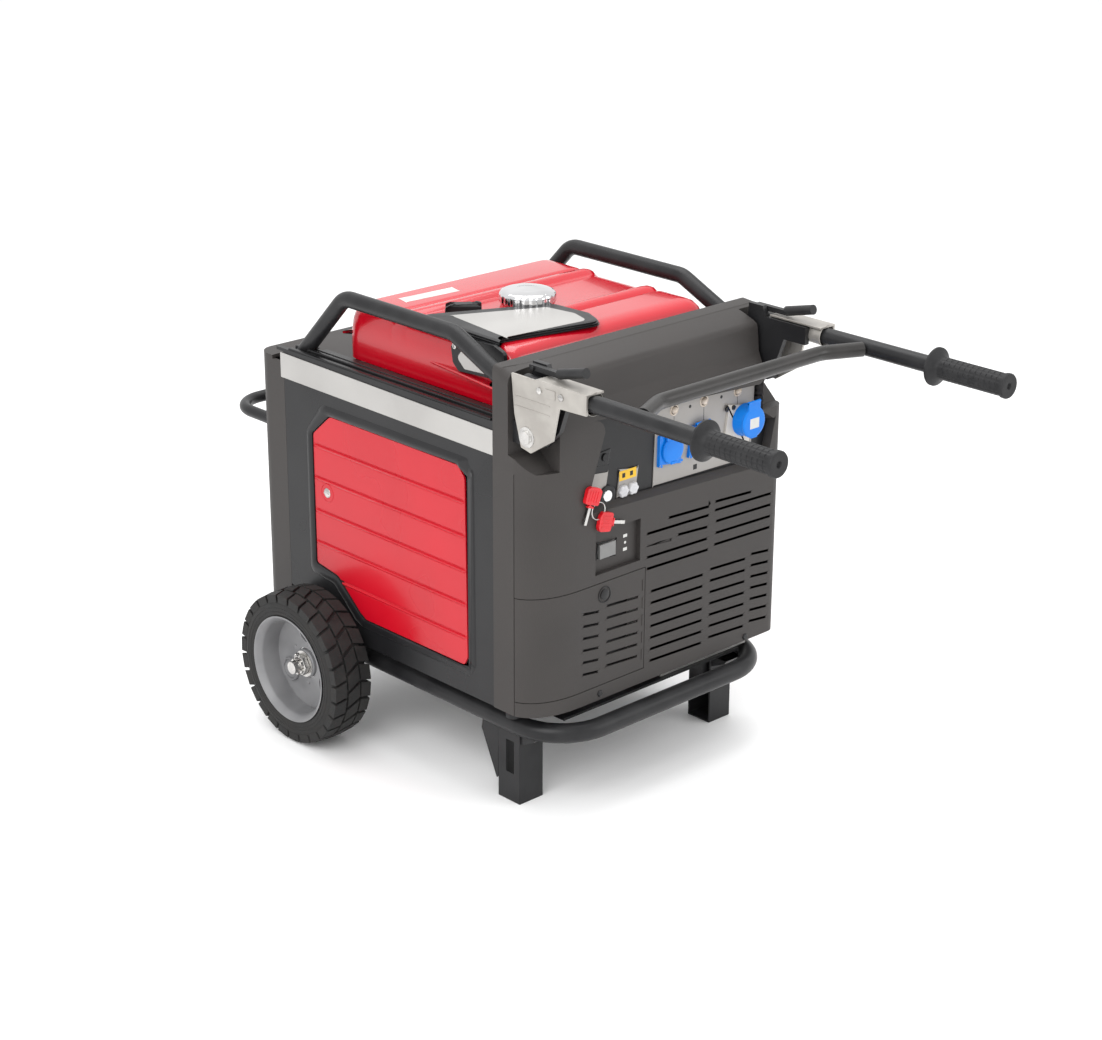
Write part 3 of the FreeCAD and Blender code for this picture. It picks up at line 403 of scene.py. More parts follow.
cover_face = 260.0
door_corners = [(333.3, 486), (291, 522.5), (-5, 522.5), (-19.5, 505), (-23, 224), (-16, 210.5),
                (214, 210.5), (228, 218), (281, 264), (333, 272)]
door_radii = [10, 14, 10, 12, 8, 6, 8, 10, 14, 6]
border_corners = [(350, 488), (310, 539), (-20, 539), (-40, 524), (-42, 214), (-32, 195),
                  (224, 195), (240, 201), (292, 247), (350, 252)]
border_radii = [22, 24, 18, 22, 12, 10, 14, 14, 18, 12]
inner_line = smooth_corners([(y + (1.2 if y > 100 else -1.2), z + (1.2 if z > 360 else -1.2))
                             for y, z in door_corners], door_radii)
outer_line = smooth_corners(border_corners, border_radii)
swell = [(0.0, cover_face - 1.0), (0.0, cover_face + 1.8), (0.12, cover_face + 3.2),
         (0.35, cover_face + 4.2), (0.65, cover_face + 3.8), (0.88, cover_face + 1.6),
         (1.0, cover_face - 0.5)]
for side in ("right", "left"):
    border = between(inner_line, outer_line, "yz", swell)
    for vert in border.verts:
        if side == "left" and -34 < vert.co.y < -17:
            vert.co.x = min(vert.co.x, cover_face + 0.2)
            vert.co.y = min(vert.co.y, -27.0)
    channels = [slab((x, -74, 603), (x + width, 392, 603 + high), soft=1.6, steps=3)
                for x, width, high in ((228.5, 5, 7.5), (238, 7, 8.5), (250.5, 8.5, 6.5))]
    bolts = []
    for y in (-62, 372):
        bolts.append(lathe([(0, 0), (0, 5.2), (2.2, 5.2), (3.4, 3.6), (3.4, 0)], (221, y, 607), "z", 6))
        bolts.append(lathe([(0, 0), (0, 7.6), (1.0, 7.6), (1.0, 0)], (221, y, 606.6), "z", 24))
    trim = together(border, *channels, *bolts)
    made(f"cover_trim_{side}", trim if side == "right" else mirrored(trim), satin_black, "machine")

# ---- Service door and service panel
# Glossy red pressed steel with five double ribs. The left one is the door on a hinge at its front
# edge, with a quarter-turn latch in a round dish; the right one is a fixed panel.
gloss_red = surface("gloss_red", (0.44, 0.002, 0.011), (0.50, 0.003, 0.014), (0.26, 0.34), grain=0.0008,
                    depth=0.012, patch=0.20, Coat_Weight=0.22, Coat_Roughness=0.12,
                    Specular_IOR_Level=0.3)
bright_steel = surface("bright_steel", (0.42, 0.41, 0.40), (0.60, 0.59, 0.57), (0.18, 0.32),
                       grain=0.0006, depth=0.05, patch=0.02, Metallic=1.0)


def ribbed_skin(points, face, thick, ribs):
    """A pressed panel: a flat outline with a step at each rib, as thick as its sheet."""
    shape = bmesh.new()
    shape.faces.new([shape.verts.new((face, p.x, p.y)) for p in points])
    section = [(4.5, 0.0), (3.2, -1.5), (1.6, -1.6), (0.6, 0.9), (-0.8, 1.3), (-2.0, 0.9), (-3.4, -0.6),
               (-5.5, 0.0)]
    for rib in ribs:
        for offset, _ in section:
            bmesh.ops.bisect_plane(shape, geom=shape.verts[:] + shape.edges[:] + shape.faces[:],
                                   plane_co=(0, 0, rib + offset), plane_no=(0, 0, 1))
    low = min(p.x for p in points) + 9
    high = max(p.x for p in points) - 7
    for edge_y in (low, high):
        bmesh.ops.bisect_plane(shape, geom=shape.verts[:] + shape.edges[:] + shape.faces[:],
                               plane_co=(0, edge_y, 0), plane_no=(0, 1, 0))
    for vert in shape.verts:
        if low - 0.01 <= vert.co.y <= high + 0.01:
            for rib in ribs:
                for offset, proud in section:
                    if abs(vert.co.z - rib - offset) < 0.02:
                        vert.co.x += proud
    skin = bmesh.ops.extrude_face_region(shape, geom=shape.faces[:])
    for vert in [item for item in skin["geom"] if isinstance(item, bmesh.types.BMVert)]:
        vert.co.x = face - thick
    return outward(shape)


door_line = smooth_corners(door_corners, door_radii)
rib_heights = [468, 415, 361, 308, 255]
right_skin = ribbed_skin(door_line, cover_face + 0.4, 3.6, rib_heights)
screws = [lathe([(0, 0), (0, 4.6), (1.6, 4.4), (2.4, 3.0), (2.4, 0)], (cover_face + 0.4, y, z), "x", 24)
          for y, z in ((318, 441), (318, 334), (-10, 441), (-10, 282))]
made("service_panel", together(right_skin, *screws), gloss_red, "machine",
     stands_for=("right_panel",), edge=0.5, smooth=50)
latch_at = (cover_face, 302.3, 396)
dish = lathe([(-3.4, 14.6), (0.3, 15.4), (1.1, 14.6), (0.9, 13.9), (-2.6, 12.2), (-3.4, 11.6)],
             latch_at, "x")
left_skin = mirrored(together(ribbed_skin(door_line, cover_face + 0.4, 3.6, rib_heights), dish))
made("service_door", left_skin, gloss_red, "door", stands_for=("left_door",), edge=0.5,
     smooth=50)
button = [(-7, 0), (-7, 11.0), (-2.2, 11.0), (-1.8, 9.6), (-1.6, 8.2), (0.8, 7.8), (2.2, 6.2), (2.9, 3.4),
          (3.0, 0)]
slot_bar = slab((2.3, -5.5, -1.0), (3.3, 5.5, 1.0), soft=0.3)
slot_bar.transform(Matrix.Translation(latch_at))
tongue = slab((251, 298.3, 353), (254.5, 306.3, 401), soft=0.8)
made("door_latch_button", mirrored(together(lathe(button, latch_at, "x", 40), slot_bar, tongue)),
     bright_steel, "door_latch", stands_for=("left_door_latch",))

# ---- Side strips
# A satin silver aluminium strip along the top of each side cover, in a thin dark surround, with
# brushed grain along its length.
strip_silver = surface("strip_silver", (0.37, 0.36, 0.347), (0.43, 0.42, 0.405), (0.30, 0.40),
                       grain=0.0007, depth=0.05, patch=0.15, Metallic=0.35)
softened("side_strips", "silver_strips", strip_silver, "machine", edge=0.7)

# ---- Wheels
# Ten inch air tyres with chunky blocks, on grey pressed rims with three round windows, turning on
# a steel bush and held by a castle nut with a split pin.
tyre_rubber = surface("tyre_rubber", (0.014, 0.014, 0.014), (0.024, 0.023, 0.022), (0.62, 0.80),
                      grain=0.0013, depth=0.30, patch=0.03, speck=0.15, Specular_IOR_Level=0.3)
rim_paint = surface("rim_paint", (0.17, 0.17, 0.175), (0.215, 0.215, 0.22), (0.32, 0.45), grain=0.001,
                    depth=0.08, patch=0.05)
wheel_middle, axle_y, axle_z = 313.5, 303.3, 123.8
carcass = [(-20, 83), (-33, 86), (-35.6, 91), (-36, 98), (-35, 106), (-31, 113), (-24, 117.5), (0, 119.0),
           (24, 117.5), (31, 113), (35, 106), (36, 98), (35.6, 91), (33, 86), (20, 83)]


def tread_block(turn_angle, low_x, high_x, span, radius_low, radius_high, slant=0.0):
    """One rubber block of the tread, with its own slant."""
    shape = bmesh.new()
    corners = []
    for x in (low_x, high_x):
        lean = slant * (x - low_x) / (high_x - low_x)
        for angle in (turn_angle - span / 2 + lean, turn_angle + span / 2 + lean):
            for radius in (radius_low, radius_high - (2.2 if abs(x) > 30 else 0)):
                corners.append(shape.verts.new((x, radius * math.cos(angle), radius * math.sin(angle))))
    a, b, c, d, e, f, g, h = corners
    for face in ((a, b, d, c), (e, g, h, f), (a, c, g, e), (b, f, h, d), (a, e, f, b), (c, d, h, g)):
        shape.faces.new(face)
    outward(shape)
    bmesh.ops.bevel(shape, geom=shape.edges[:], offset=0.9, segments=2, profile=0.6, affect="EDGES")
    return shape


blocks = []
pitches = 26
for k in range(pitches):
    angle = 2 * math.pi * k / pitches
    half_step = math.pi / pitches
    blocks.append(tread_block(angle, 14, 34.5, 0.205, 108, 123.2, 0.05))
    blocks.append(tread_block(angle + half_step, -34.5, -14, 0.205, 108, 123.2, -0.05))
    blocks.append(tread_block(angle + half_step * 0.6, -11, 11, 0.190, 112, 123.6, 0.10))
side_ribs = [lathe([(35.2, r - 1.2), (36.4, r), (35.2, r + 1.2)], (0, 0, 0), "x", 64) for r in (94, 100)]
tyre_shape = together(lathe(carcass, (0, 0, 0), "x", 72), *blocks, *side_ribs)
tyre_shape.transform(Matrix.Translation((wheel_middle, axle_y, axle_z)))
for side, shape in (("right", tyre_shape), ("left", mirrored(tyre_shape))):
    made(f"{side}_wheel_tyre", shape, tyre_rubber, f"{side}_wheel",
         stands_for=(f"{side}_tyre",))


def dished_rim():
    """The pressed rim: a rolled lip, a deep barrel, and a disc with three pressed windows."""
    barrel = lathe([(-34, 84), (-33, 80), (-6, 78.6), (26, 79.4), (31, 82.6), (33.6, 85.6), (35.6, 86.4),
                    (36.2, 84.6), (34.6, 82.6), (32.2, 80.6), (28, 77.2), (24, 75.8), (-5, 74.4), (-28, 76)],
                   (0, 0, 0), "x", 72)
    steps = 72
    rings = [(24.5, -3.0), (30, -3.6), (36, -5.6), (50, -7.6), (62, -7.0), (70, -4.5), (77.5, -3.8)]
    disc = bmesh.new()
    for sheet_shift in (0.0, -2.6):
        rows = [[disc.verts.new((x + sheet_shift, r * math.cos(2 * math.pi * k / steps),
                                 r * math.sin(2 * math.pi * k / steps))) for k in range(steps)]
                for r, x in rings]
        for first, last in zip(rows, rows[1:]):
            for k in range(steps):
                disc.faces.new((first[k], first[(k + 1) % steps], last[(k + 1) % steps], last[k]))
    outward(disc)
    lips = []
    for k in range(3):
        angle = math.radians(90 + 120 * k)
        centre = (0, 52 * math.cos(angle), 52 * math.sin(angle))
        lips.append(lathe([(-9.5, 19), (-4.6, 19.4), (-3.0, 18.4), (-3.4, 16.6), (-6, 15.8), (-9.5, 15.6)],
                          centre, "x", 36))
        well = [(-9.6, 15.7), (-10.4, 15.7), (-10.4, 0), (-9.6, 0)]
        lips.append(lathe([(x, r) for x, r in reversed(well)], centre, "x", 36))
    hub = lathe([(-40, 13.2), (-40, 24), (-8, 24), (0.6, 23.4), (2.6, 21.6), (3.0, 18), (3.0, 13.2)],
                (0, 0, 0), "x", 48)
    spots = [lathe([(-5.4, 0), (-5.4, 3.6), (-4.2, 3.4), (-3.6, 2.2), (-3.4, 0)],
                   (0, 34 * math.cos(a), 34 * math.sin(a)), "x", 16)
             for a in (math.radians(30 + 120 * k) for k in range(3))]
    return together(barrel, disc, hub, *lips, *spots)


def wire_ring(wire, bend, at, steps):
    """A ring of round wire that stands across the machine's length."""
    return lathe([(wire * math.cos(a), bend + wire * math.sin(a))
                  for a in (2 * math.pi * k / 10 for k in range(10))], at, "y", steps)


rim_shape = dished_rim()
rim_shape.transform(Matrix.Translation((wheel_middle, axle_y, axle_z)))
for side, shape in (("right", rim_shape), ("left", mirrored(rim_shape))):
    made(f"{side}_wheel_rim", shape, rim_paint, f"{side}_wheel", stands_for=(f"{side}_rim",))
dress(bright_steel, "wheel_bushes", "stub_axles", "crankshaft", "pivot_bolts")
nut_out = wheel_middle + 3.5
castle = [lathe([(0, 10.1), (0, 15.5), (1.0, 17.0), (9.0, 17.0), (10.0, 15.5), (10.0, 10.1)],
                (nut_out, axle_y, axle_z), "x", 6)]
for k in range(6):
    angle = math.radians(60 * k + 30)
    tooth = slab((9.5, 10.2, -3.4), (14, 14.2, 3.4), soft=0.5)
    tooth.transform(Matrix.Translation((nut_out, axle_y, axle_z)) @ Matrix.Rotation(angle, 4, "X"))
    castle.append(tooth)
washer = lathe([(-0.4, 10.1), (-0.4, 21), (0.0, 21.4), (0.0, 10.1)], (nut_out, axle_y, axle_z), "x", 40)
pin_at = (nut_out + 12.0, axle_y, axle_z)
pin = lathe([(-14, 0), (-14, 1.6), (14, 1.6), (14, 0)], pin_at, "z", 16)
pin_eye = wire_ring(1.3, 4.6, (pin_at[0], axle_y, axle_z + 17), 18)
made("castle_nuts", both_sides(together(*castle, washer, pin, pin_eye)), bright_steel, "machine",
     stands_for=("hub_nuts",))

# ---- Front legs
# Black sheet steel channels that stand under the front end, open to the inside, with a slot in the
# outer face and a rear flange that widens upwards to the frame tube.
softened("front_legs", "leg_channels", powder_black, "machine", edge=0.9)
gusset = prism(smooth_corners([(-57.5, 20), (-57.5, 117), (-12, 117), (-20, 100)], [2, 2, 4, 8], 4),
               "yz", 228.6, 2.4)
brace = prism([(-104.5, 99), (-104.5, 117), (-135, 117), (-132, 112)], "yz", 186, 42)
made("leg_gussets", both_sides(together(gusset, brace)), powder_black, "machine", edge=0.6)

# ---- Front cover and battery cover
# One moulded dark grey cover, three millimetres thick, that wraps over the front of the machine. It
# has a recess for the controls, two rows of louvres, a pocket for each handle pivot and one for the
# rocker. The battery cover is a separate moulding of the same plastic, held by a quarter-turn screw.
shell_grey = surface("shell_grey", (0.036, 0.0325, 0.031), (0.043, 0.039, 0.037), (0.46, 0.56),
                     grain=0.0009, depth=0.16, patch=0.14, speck=0.10, Specular_IOR_Level=0.28)
half, front, seam_y = 262.0, -170.7, -82.7
cover_levels = [(0, 165 + 431 * k / 40) for k in range(41)]
cover_levels += [(1, 606), (5, 618), (10.5, 630), (12, 634), (13.5, 650), (15.5, 668),
                (17.5, 674), (24, 678), (44, 685), (62, 690), (64, 690.15), (66, 690.3), (88, 692)]
bend_from, bend_to = (-half, -126.7), (-176, front)
cover_line = [(-half, seam_y), (-half, -105), bend_from]
for k in range(1, 13):
    t = k / 12
    weights = ((1 - t) ** 3, 3 * t * (1 - t) ** 2, 3 * t * t * (1 - t), t ** 3)
    nodes = (bend_from, (-256, -150), (-225, front), bend_to)
    cover_line.append(tuple(sum(w * n[axis] for w, n in zip(weights, nodes)) for axis in (0, 1)))
flat_width = 418
cover_line += [(bend_to[0] + flat_width * k / 40, front) for k in range(1, 40)]
for k in range(7):
    a = math.radians(-90 + 15 * k)
    cover_line.append((half - 20 + 20 * math.cos(a), front + 20 + 20 * math.sin(a)))
cover_line += [(half, -105), (half, seam_y)]


def cover_rows(shape):
    """The rows of points of the cover's outer face, from the bottom to the top seam."""
    rows = []
    for inset, z in cover_levels:
        row = []
        for x, y in cover_line:
            edge = min(8.0, half - abs(x))
            drop = (8 - math.sqrt(64 - (8 - edge) ** 2)) * min(1.0, max(0.0, (z - 650) / 24))
            drop += 1.6 * edge / 8 if inset == 64 else 0
            row.append(shape.verts.new((x, seam_y + (y - seam_y) * (1 - inset / 88), z - drop)))
        rows.append(row)
    for low, high in zip(rows, rows[1:]):
        for k in range(len(low) - 1):
            shape.faces.new((low[k], low[k + 1], high[k + 1], high[k]))
    return rows


def carved(base, tool, operation):
    """One shape cut by, joined with or kept inside another; both are used up."""
    holders = []
    for shape in (base, tool):
        mesh = bpy.data.meshes.new("carving")
        bmesh.ops.triangulate(shape, faces=[f for f in shape.faces if len(f.verts) > 4])
        shape.to_mesh(mesh)
        shape.free()
        holder = bpy.data.objects.new("carving", mesh)
        scene.collection.objects.link(holder)
        holders.append(holder)
    knife = holders[0].modifiers.new("carve", "BOOLEAN")
    knife.solver = "MANIFOLD"
    knife.operation = operation
    knife.object = holders[1]
    bpy.context.view_layer.update()
    result = bpy.data.meshes.new_from_object(holders[0].evaluated_get(bpy.context.evaluated_depsgraph_get()))
    whole = bmesh.new()
    whole.from_mesh(result)
    bpy.data.meshes.remove(result)
    for holder in holders:
        bpy.data.meshes.remove(holder.data)
    return whole


def covered(row_set, shape):
    """Closes the bottom, the back and the top of the cover's rows."""
    shape.faces.new(row_set[0])
    shape.faces.new(row_set[-1])
    for low, high in zip(row_set, row_set[1:]):
        shape.faces.new((low[0], high[0], high[-1], low[-1]))
    outward(shape)


full = bmesh.new()
covered(cover_rows(full), full)
bmesh.ops.remove_doubles(full, verts=full.verts, dist=0.01)
wall = 3.0
skin = bmesh.new()
outer_rows = cover_rows(skin)
inner_rows = [[skin.verts.new((v.co.x * (half - wall) / half,
                               min(seam_y, seam_y + (v.co.y - seam_y) * (1 - wall / 88)),
                               v.co.z - (0 if v.co.z < 166 else wall * (0.25 if v.co.z < 672 else 1.0))))
               for v in row] for row in outer_rows]
for low, high in zip(inner_rows, inner_rows[1:]):
    for k in range(len(low) - 1):
        skin.faces.new((low[k], high[k], high[k + 1], low[k + 1]))
for outer, inner in ((outer_rows[0], inner_rows[0]), (outer_rows[-1], inner_rows[-1]),
                     ([row[0] for row in outer_rows], [row[0] for row in inner_rows]),
                     ([row[-1] for row in outer_rows], [row[-1] for row in inner_rows])):
    for k in range(len(outer) - 1):
        skin.faces.new((outer[k], outer[k + 1], inner[k + 1], inner[k]))
bmesh.ops.remove_doubles(skin, verts=skin.verts, dist=0.01)
outward(skin)

pocket_side = [(-190, 541), (-152, 541), (-128, 563), (-114.7, 566), (-114.7, 740), (-190, 740)]
pocket_walls = [(-190, 538.5), (-151, 538.5), (-127, 560.5), (-112.2, 563.5), (-112.2, 740), (-190, 740)]
recess_line = smooth_corners([(-166, 458), (240, 458), (240, 532), (209, 532), (209, 600), (-166, 600)],
                             [7, 7, 6, 6, 8, 20], 5)
lip_line = smooth_corners([(-169, 449), (243, 449), (243, 534.5), (212, 534.5), (212, 604), (-169, 604)],
                          [8, 8, 6, 6, 10, 22], 5)
deep_line = smooth_corners([(-169, 446), (243, 446), (243, 535), (212, 535), (212, 603), (-169, 603)],
                           [8, 8, 6, 6, 10, 22], 5)
linings = together(
    prism(pocket_walls, "yz", 207.9, 70), prism(pocket_walls, "yz", -277.9, 70),
    prism(deep_line, "xz", -169.5, 13.6), slab((-145, -169, 363), (-47, -160.0, 435)))
lining = carved(full, linings, "INTERSECT")
body = carved(skin, lining, "UNION")
pocket_floor = -162.7
body = carved(body, slab((-142, -180, 366), (-50, pocket_floor, 432)), "DIFFERENCE")

tunnel = bmesh.new()
ring_rows = []
for line, depth in ((lip_line, -178), (lip_line, front - 0.2), (recess_line, -160), (recess_line, -150)):
    ring_rows.append([tunnel.verts.new((p.x, depth, p.y)) for p in line])
join_rings(tunnel, ring_rows, ends=True)
cutters = [prism(pocket_side, "yz", 210.7, 70), prism(pocket_side, "yz", -280.7, 70), tunnel,
           slab((-264, -127.4, 160), (-260.8, -126.3, 540))]


def louvre(low_x, high_x, z, high=8.6, depth=12.0):
    """The cutter of one slot with rounded ends."""
    return prism(rounded(low_x, z - high / 2, high_x, z + high / 2, 2.2, 2), "xz", -180,
                 180 + front + depth)


divider, gap_half = 104.0, 3.4
for z, low_x, high_x in ((415.5, 6, 195), (401.5, -39, 241), (345.5, -39, 241)):
    cutters += [louvre(low_x, divider - gap_half, z), louvre(divider + gap_half, high_x, z)]
cutters += [louvre(-39, 20, 383.0, depth=1.4), louvre(27, 98, 383.0, depth=1.4), louvre(110, 241, 383.0),
            louvre(-39, 98, 364.0, depth=1.4), louvre(110, 241, 364.0, depth=1.4)]
for row in range(7):
    z = 307 - 18.87 * row
    cutters += [louvre(-29, 91, z), louvre(100, 186.5, z), louvre(193, 240, z)]
for row in range(6):
    z = 310 - 19.2 * row
    cutters += [louvre(-169.5, -130.5, z), louvre(-121, -49, z)]
body = carved(body, together(*cutters), "DIFFERENCE")

hatch = slab((-270, -185, 188.8), (-38.8, -127.5, 351.2))
cover = carved(body.copy(), hatch, "INTERSECT")
body = carved(body, slab((-275, -190, 187.6), (-37.6, -126.3, 352.4)), "DIFFERENCE")
battery_screw = (-123, front, 332)
hatch_screw = together(
    lathe([(-1.0, 12.5), (0.9, 12.9), (1.3, 11.9), (0.4, 11.0), (-1.0, 11.0)], battery_screw, "-y", 32),
    lathe([(-1.0, 0), (-1.0, 8.4), (1.4, 8.4), (2.4, 6.6), (2.4, 0)], battery_screw, "-y", 24))
tabs = [slab((-44, front - 0.9, z - 9), (-41.4, front + 1, z + 9), soft=0.4)
        for z in (212, 240, 268, 296, 324)]
made("battery_hatch", together(cover, *tabs), shell_grey, "machine",
     stands_for=("battery_cover",), smooth=40)
made("front_cover", body, shell_grey, "machine", stands_for=("front_shell",), smooth=40)
fixings = [hatch_screw]
for x, z in ((-130, 175), (188, 172)):
    fixings.append(lathe([(-1, 0), (-1, 5.6), (1.0, 5.6), (2.2, 4.0), (2.2, 0)], (x, front, z), "-y", 6))
fixings.append(lathe([(-1, 0), (-1, 5.0), (0.0, 5.0), (0.0, 0)], (-261.9, -99, 604), "-x", 20))
made("cover_screws", together(*fixings), satin_black, "machine")

# ---- Fuel tank
# Pressed steel in two halves with a rolled seam, painted glossy red. Ribs run across the top, and
# the middle is a shallow tray for the filler and the gauge.
tank_low, tank_seam = 604.0, 639.0
stations = [(-58.7, 652, 190), (-57.5, 666, 197), (-53, 680, 202), (-45, 688, 205), (-34, 692.5, 206),
            (-20, 693.5, 206), (26, 693.5, 206), (32, 692.5, 206), (36, 689.5, 206), (39, 689.5, 206),
            (42, 692.5, 206), (47, 696, 206), (55, 696.6, 206), (61, 695, 206), (66, 690.5, 206),
            (72, 688, 206), (172, 688, 206), (178, 690.5, 206), (183, 695, 206), (189, 696.6, 206),
            (197, 696, 206), (202, 692.5, 206), (206, 689.5, 206), (209, 689.5, 206), (213, 692.5, 206),
            (219, 693.5, 206), (283, 693.5, 206), (294, 690, 205), (302, 682, 203), (308, 668, 199),
            (311.3, 652, 192)]
tank_top = bmesh.new()
tank_rows = []
for y, high, wide in stations:
    section = []
    for inward, share in ((0, -1.0), (0, 0.0), (1.0, 0.35), (3.5, 0.65), (7.5, 0.84), (13, 0.945),
                          (20, 0.985), (30, 1.0), (wide * 0.4, 1.0), (wide * 0.75, 1.0)):
        z = tank_low if share < 0 else tank_seam + share * (high - tank_seam)
        section.append((wide - inward, z))
    row = [tank_top.verts.new((-x, y, z)) for x, z in section]
    row.append(tank_top.verts.new((0, y, high)))
    row += [tank_top.verts.new((x, y, z)) for x, z in reversed(section)]
    tank_rows.append(row)
join_rings(tank_top, tank_rows, ends=True)
flange_line = rounded(-226, -66.7, 226, 323.3, 22, 5)
rolled = [(0.0, 637.0), (1.0, 637.0), (1.012, 638.2), (1.012, 639.8), (1.0, 641.0), (0.0, 641.0)]
inside_line = [p * 0.80 for p in flange_line]
cap_x, cap_y = -21.0, 105.3
collar = lathe([(686, 43), (690, 42.4), (694, 40.5), (697.4, 40.0), (697.9, 38.8), (697.9, 30), (686, 30)],
               (cap_x, cap_y, 0), "z", 64)
gloss_red_tank = surface("tank_red", (0.44, 0.002, 0.011), (0.50, 0.003, 0.014), (0.18, 0.26),
                         grain=0.0008, depth=0.01, patch=0.25, Coat_Weight=0.45, Coat_Roughness=0.06)
made("tank_shell", together(tank_top, between(inside_line, flange_line, "xy", rolled), collar),
     gloss_red_tank, "machine", stands_for=("fuel_tank",), smooth=40)

# ---- Filler cap
# A chromed steel cap with a scalloped rim that turns off the filler neck.
cap_chrome = surface("cap_chrome", (0.62, 0.62, 0.63), (0.74, 0.74, 0.75), (0.05, 0.11), grain=0.002,
                     depth=0.02, patch=0.05, Metallic=1.0)
cap = bmesh.new()
cap_rows, rim_steps, scallops = [], 144, 18
for high, radius, scallop in ((698.9, 40.6, 0.0), (698.9, 43.0, 0.9), (701.5, 43.9, 1.0), (710.5, 43.6, 1.0),
                              (713.5, 42.6, 0.8), (715.8, 40.2, 0.25), (717.2, 36.0, 0.0), (718.1, 29.0, 0.0),
                              (718.5, 20.0, 0.0), (717.9, 18.6, 0.0), (718.0, 9.0, 0.0)):
    row = []
    for k in range(rim_steps):
        a = 2 * math.pi * k / rim_steps
        r = radius - 1.7 * scallop * (0.5 - 0.5 * math.cos(scallops * a)) ** 2
        row.append(cap.verts.new((cap_x + r * math.cos(a), cap_y + r * math.sin(a), high)))
    cap_rows.append(row)
join_rings(cap, cap_rows, ends=True)
made("filler_cap", cap, cap_chrome, "cap", stands_for=("fuel_cap",), smooth=50)

# ---- Fuel gauge
# A low black plastic block with a clear window over a needle, in a rubber ring in the tank's tray.
panel_black = surface("panel_black", (0.011, 0.011, 0.012), (0.016, 0.016, 0.017), (0.30, 0.42),
                      grain=0.0008, depth=0.08, patch=0.06, Specular_IOR_Level=0.28)
gauge_line = rounded(-31, -17, 31, 17, 8, 4)
hump = [(0.0, -11), (1.0, -11), (1.0, 0.5), (0.94, 2.6), (0.72, 5.0), (0.60, 4.2), (0.0, 4.2)]
gauge = between([p * 0.02 for p in gauge_line], gauge_line, "xy", hump)
dial = slab((-13, -6.5, 4.0), (13, 6.5, 4.8), soft=0.3)
gauge_body = together(gauge, dial)
gauge_body.transform(Matrix.Translation((-113, 147.3, 699.6)) @ Matrix.Rotation(math.radians(-25), 4, "Z"))
made("gauge_block", gauge_body, panel_black, "machine", stands_for=("fuel_gauge",), smooth=40)

# ---- Tank corner cover
# A black moulded cover over the front left corner of the tank. Its top and side carry satin silver
# inlays, and its front edge is stepped like a stack of thin plates.
near = front + 112
top_line = smooth_corners([(-206, near + 8), (-16, near + 8), (2, near + 50), (-3, near + 125),
                           (-186, near + 209), (-206, near + 209)], [16, 20, 12, 18, 8, 3], 5)
core = [p.lerp(Vector((-110, near + 90)), 0.97) for p in top_line]
plate_steps = [(0.0, 694), (1.0, 694), (1.0, 695.2), (0.955, 696.2), (0.985, 696.8), (0.985, 698.2),
               (0.94, 699.2), (0.965, 699.8), (0.965, 700.9), (0.93, 701.9), (0.90, 702.2),
               (0.0, 702.2)]
side_cover = prism(smooth_corners([(near + 6, 642), (near + 106, 642), (near + 118, 652), (near + 122, 676),
                                   (near + 110, 692), (near + 30, 697), (near + 8, 690)],
                                  [3, 6, 8, 8, 6, 8, 6], 4), "yz", -211.4, 6.5)
made("tank_corner", together(between(core, top_line, "xy", plate_steps), side_cover), panel_black, "machine",
     stands_for=("gauge_cover",), edge=0.5)
silver_line = smooth_corners([(-184, near + 20), (-34, near + 22), (-22, near + 60), (-30, near + 112),
                              (-176, near + 180)], [8, 14, 14, 10, 6], 5)
silver_top = prism(silver_line, "xy", 701.7, 0.6)
silver_side = prism(smooth_corners([(near + 20, 648), (near + 92, 648), (near + 108, 662), (near + 98, 674),
                                    (near + 60, 680), (near + 48, 672)], [4, 5, 6, 6, 5, 6], 4),
                    "yz", -212.0, 1.2)
side_screw = lathe([(0, 0), (0, 4.6), (1.2, 4.4), (1.6, 2.4), (0.6, 2.2), (0.6, 0)],
                   (-211.2, near + 114, 678), "-x", 24)
made("corner_inlays", together(silver_top, silver_side), strip_silver, "machine", edge=0.25)
made("corner_screw", side_screw, bright_steel, "machine")
label_paper = surface("label_paper", (0.50, 0.50, 0.49), (0.60, 0.60, 0.58), (0.35, 0.5), grain=0.001,
                      depth=0.02, patch=0.02)
made("tank_labels", together(prism(rounded(-150, 232, -40, 262, 3, 2),
                                   "xy", 693.4, 0.35)), label_paper, "machine")

# ---- Control panel
# A matt black moulded panel at the back of the recess. A warm grey printed plate carries the outlets
# and the breakers, and the left half holds the display, the lamps and the key lock.
plate_grey = surface("plate_grey", (0.27, 0.255, 0.24), (0.31, 0.295, 0.28), (0.42, 0.52), grain=0.0006,
                     depth=0.05, patch=0.10)
mark_white = surface("mark_white", (0.52, 0.52, 0.50), (0.60, 0.60, 0.58), (0.45, 0.55), depth=0.02)
dress(panel_black, "control_plate")
plate_face = -155.7
breaker_x, breaker_z = (30.0, 94.0, 168.0), 578.0
plate_line = rounded(-12, 464.5, 206.5, 597.5, 2.5, 3)
holes = together(*[lathe([(-8, 0), (-8, 6.8), (8, 6.8), (8, 0)], (x, plate_face, breaker_z), "y", 32)
                   for x in breaker_x])
made("outlet_plate", carved(prism(plate_line, "xz", plate_face - 1.5, 1.4), holes, "DIFFERENCE"), plate_grey,
     "machine", edge=0.3)
marks = [slab((x - 0.35, plate_face - 1.7, 548), (x + 0.35, plate_face - 1.5, 570)) for x in breaker_x]
marks += [lathe([(0, 0), (0, 2.6), (0.5, 2.2), (0.5, 0)], (x, plate_face - 1.5, 576), "-y", 16)
          for x in (64, 132)]
marks.append(slab((74, plate_face - 1.7, 474), (82, plate_face - 1.5, 482)))
made("plate_marks", together(*marks), panel_black, "machine")
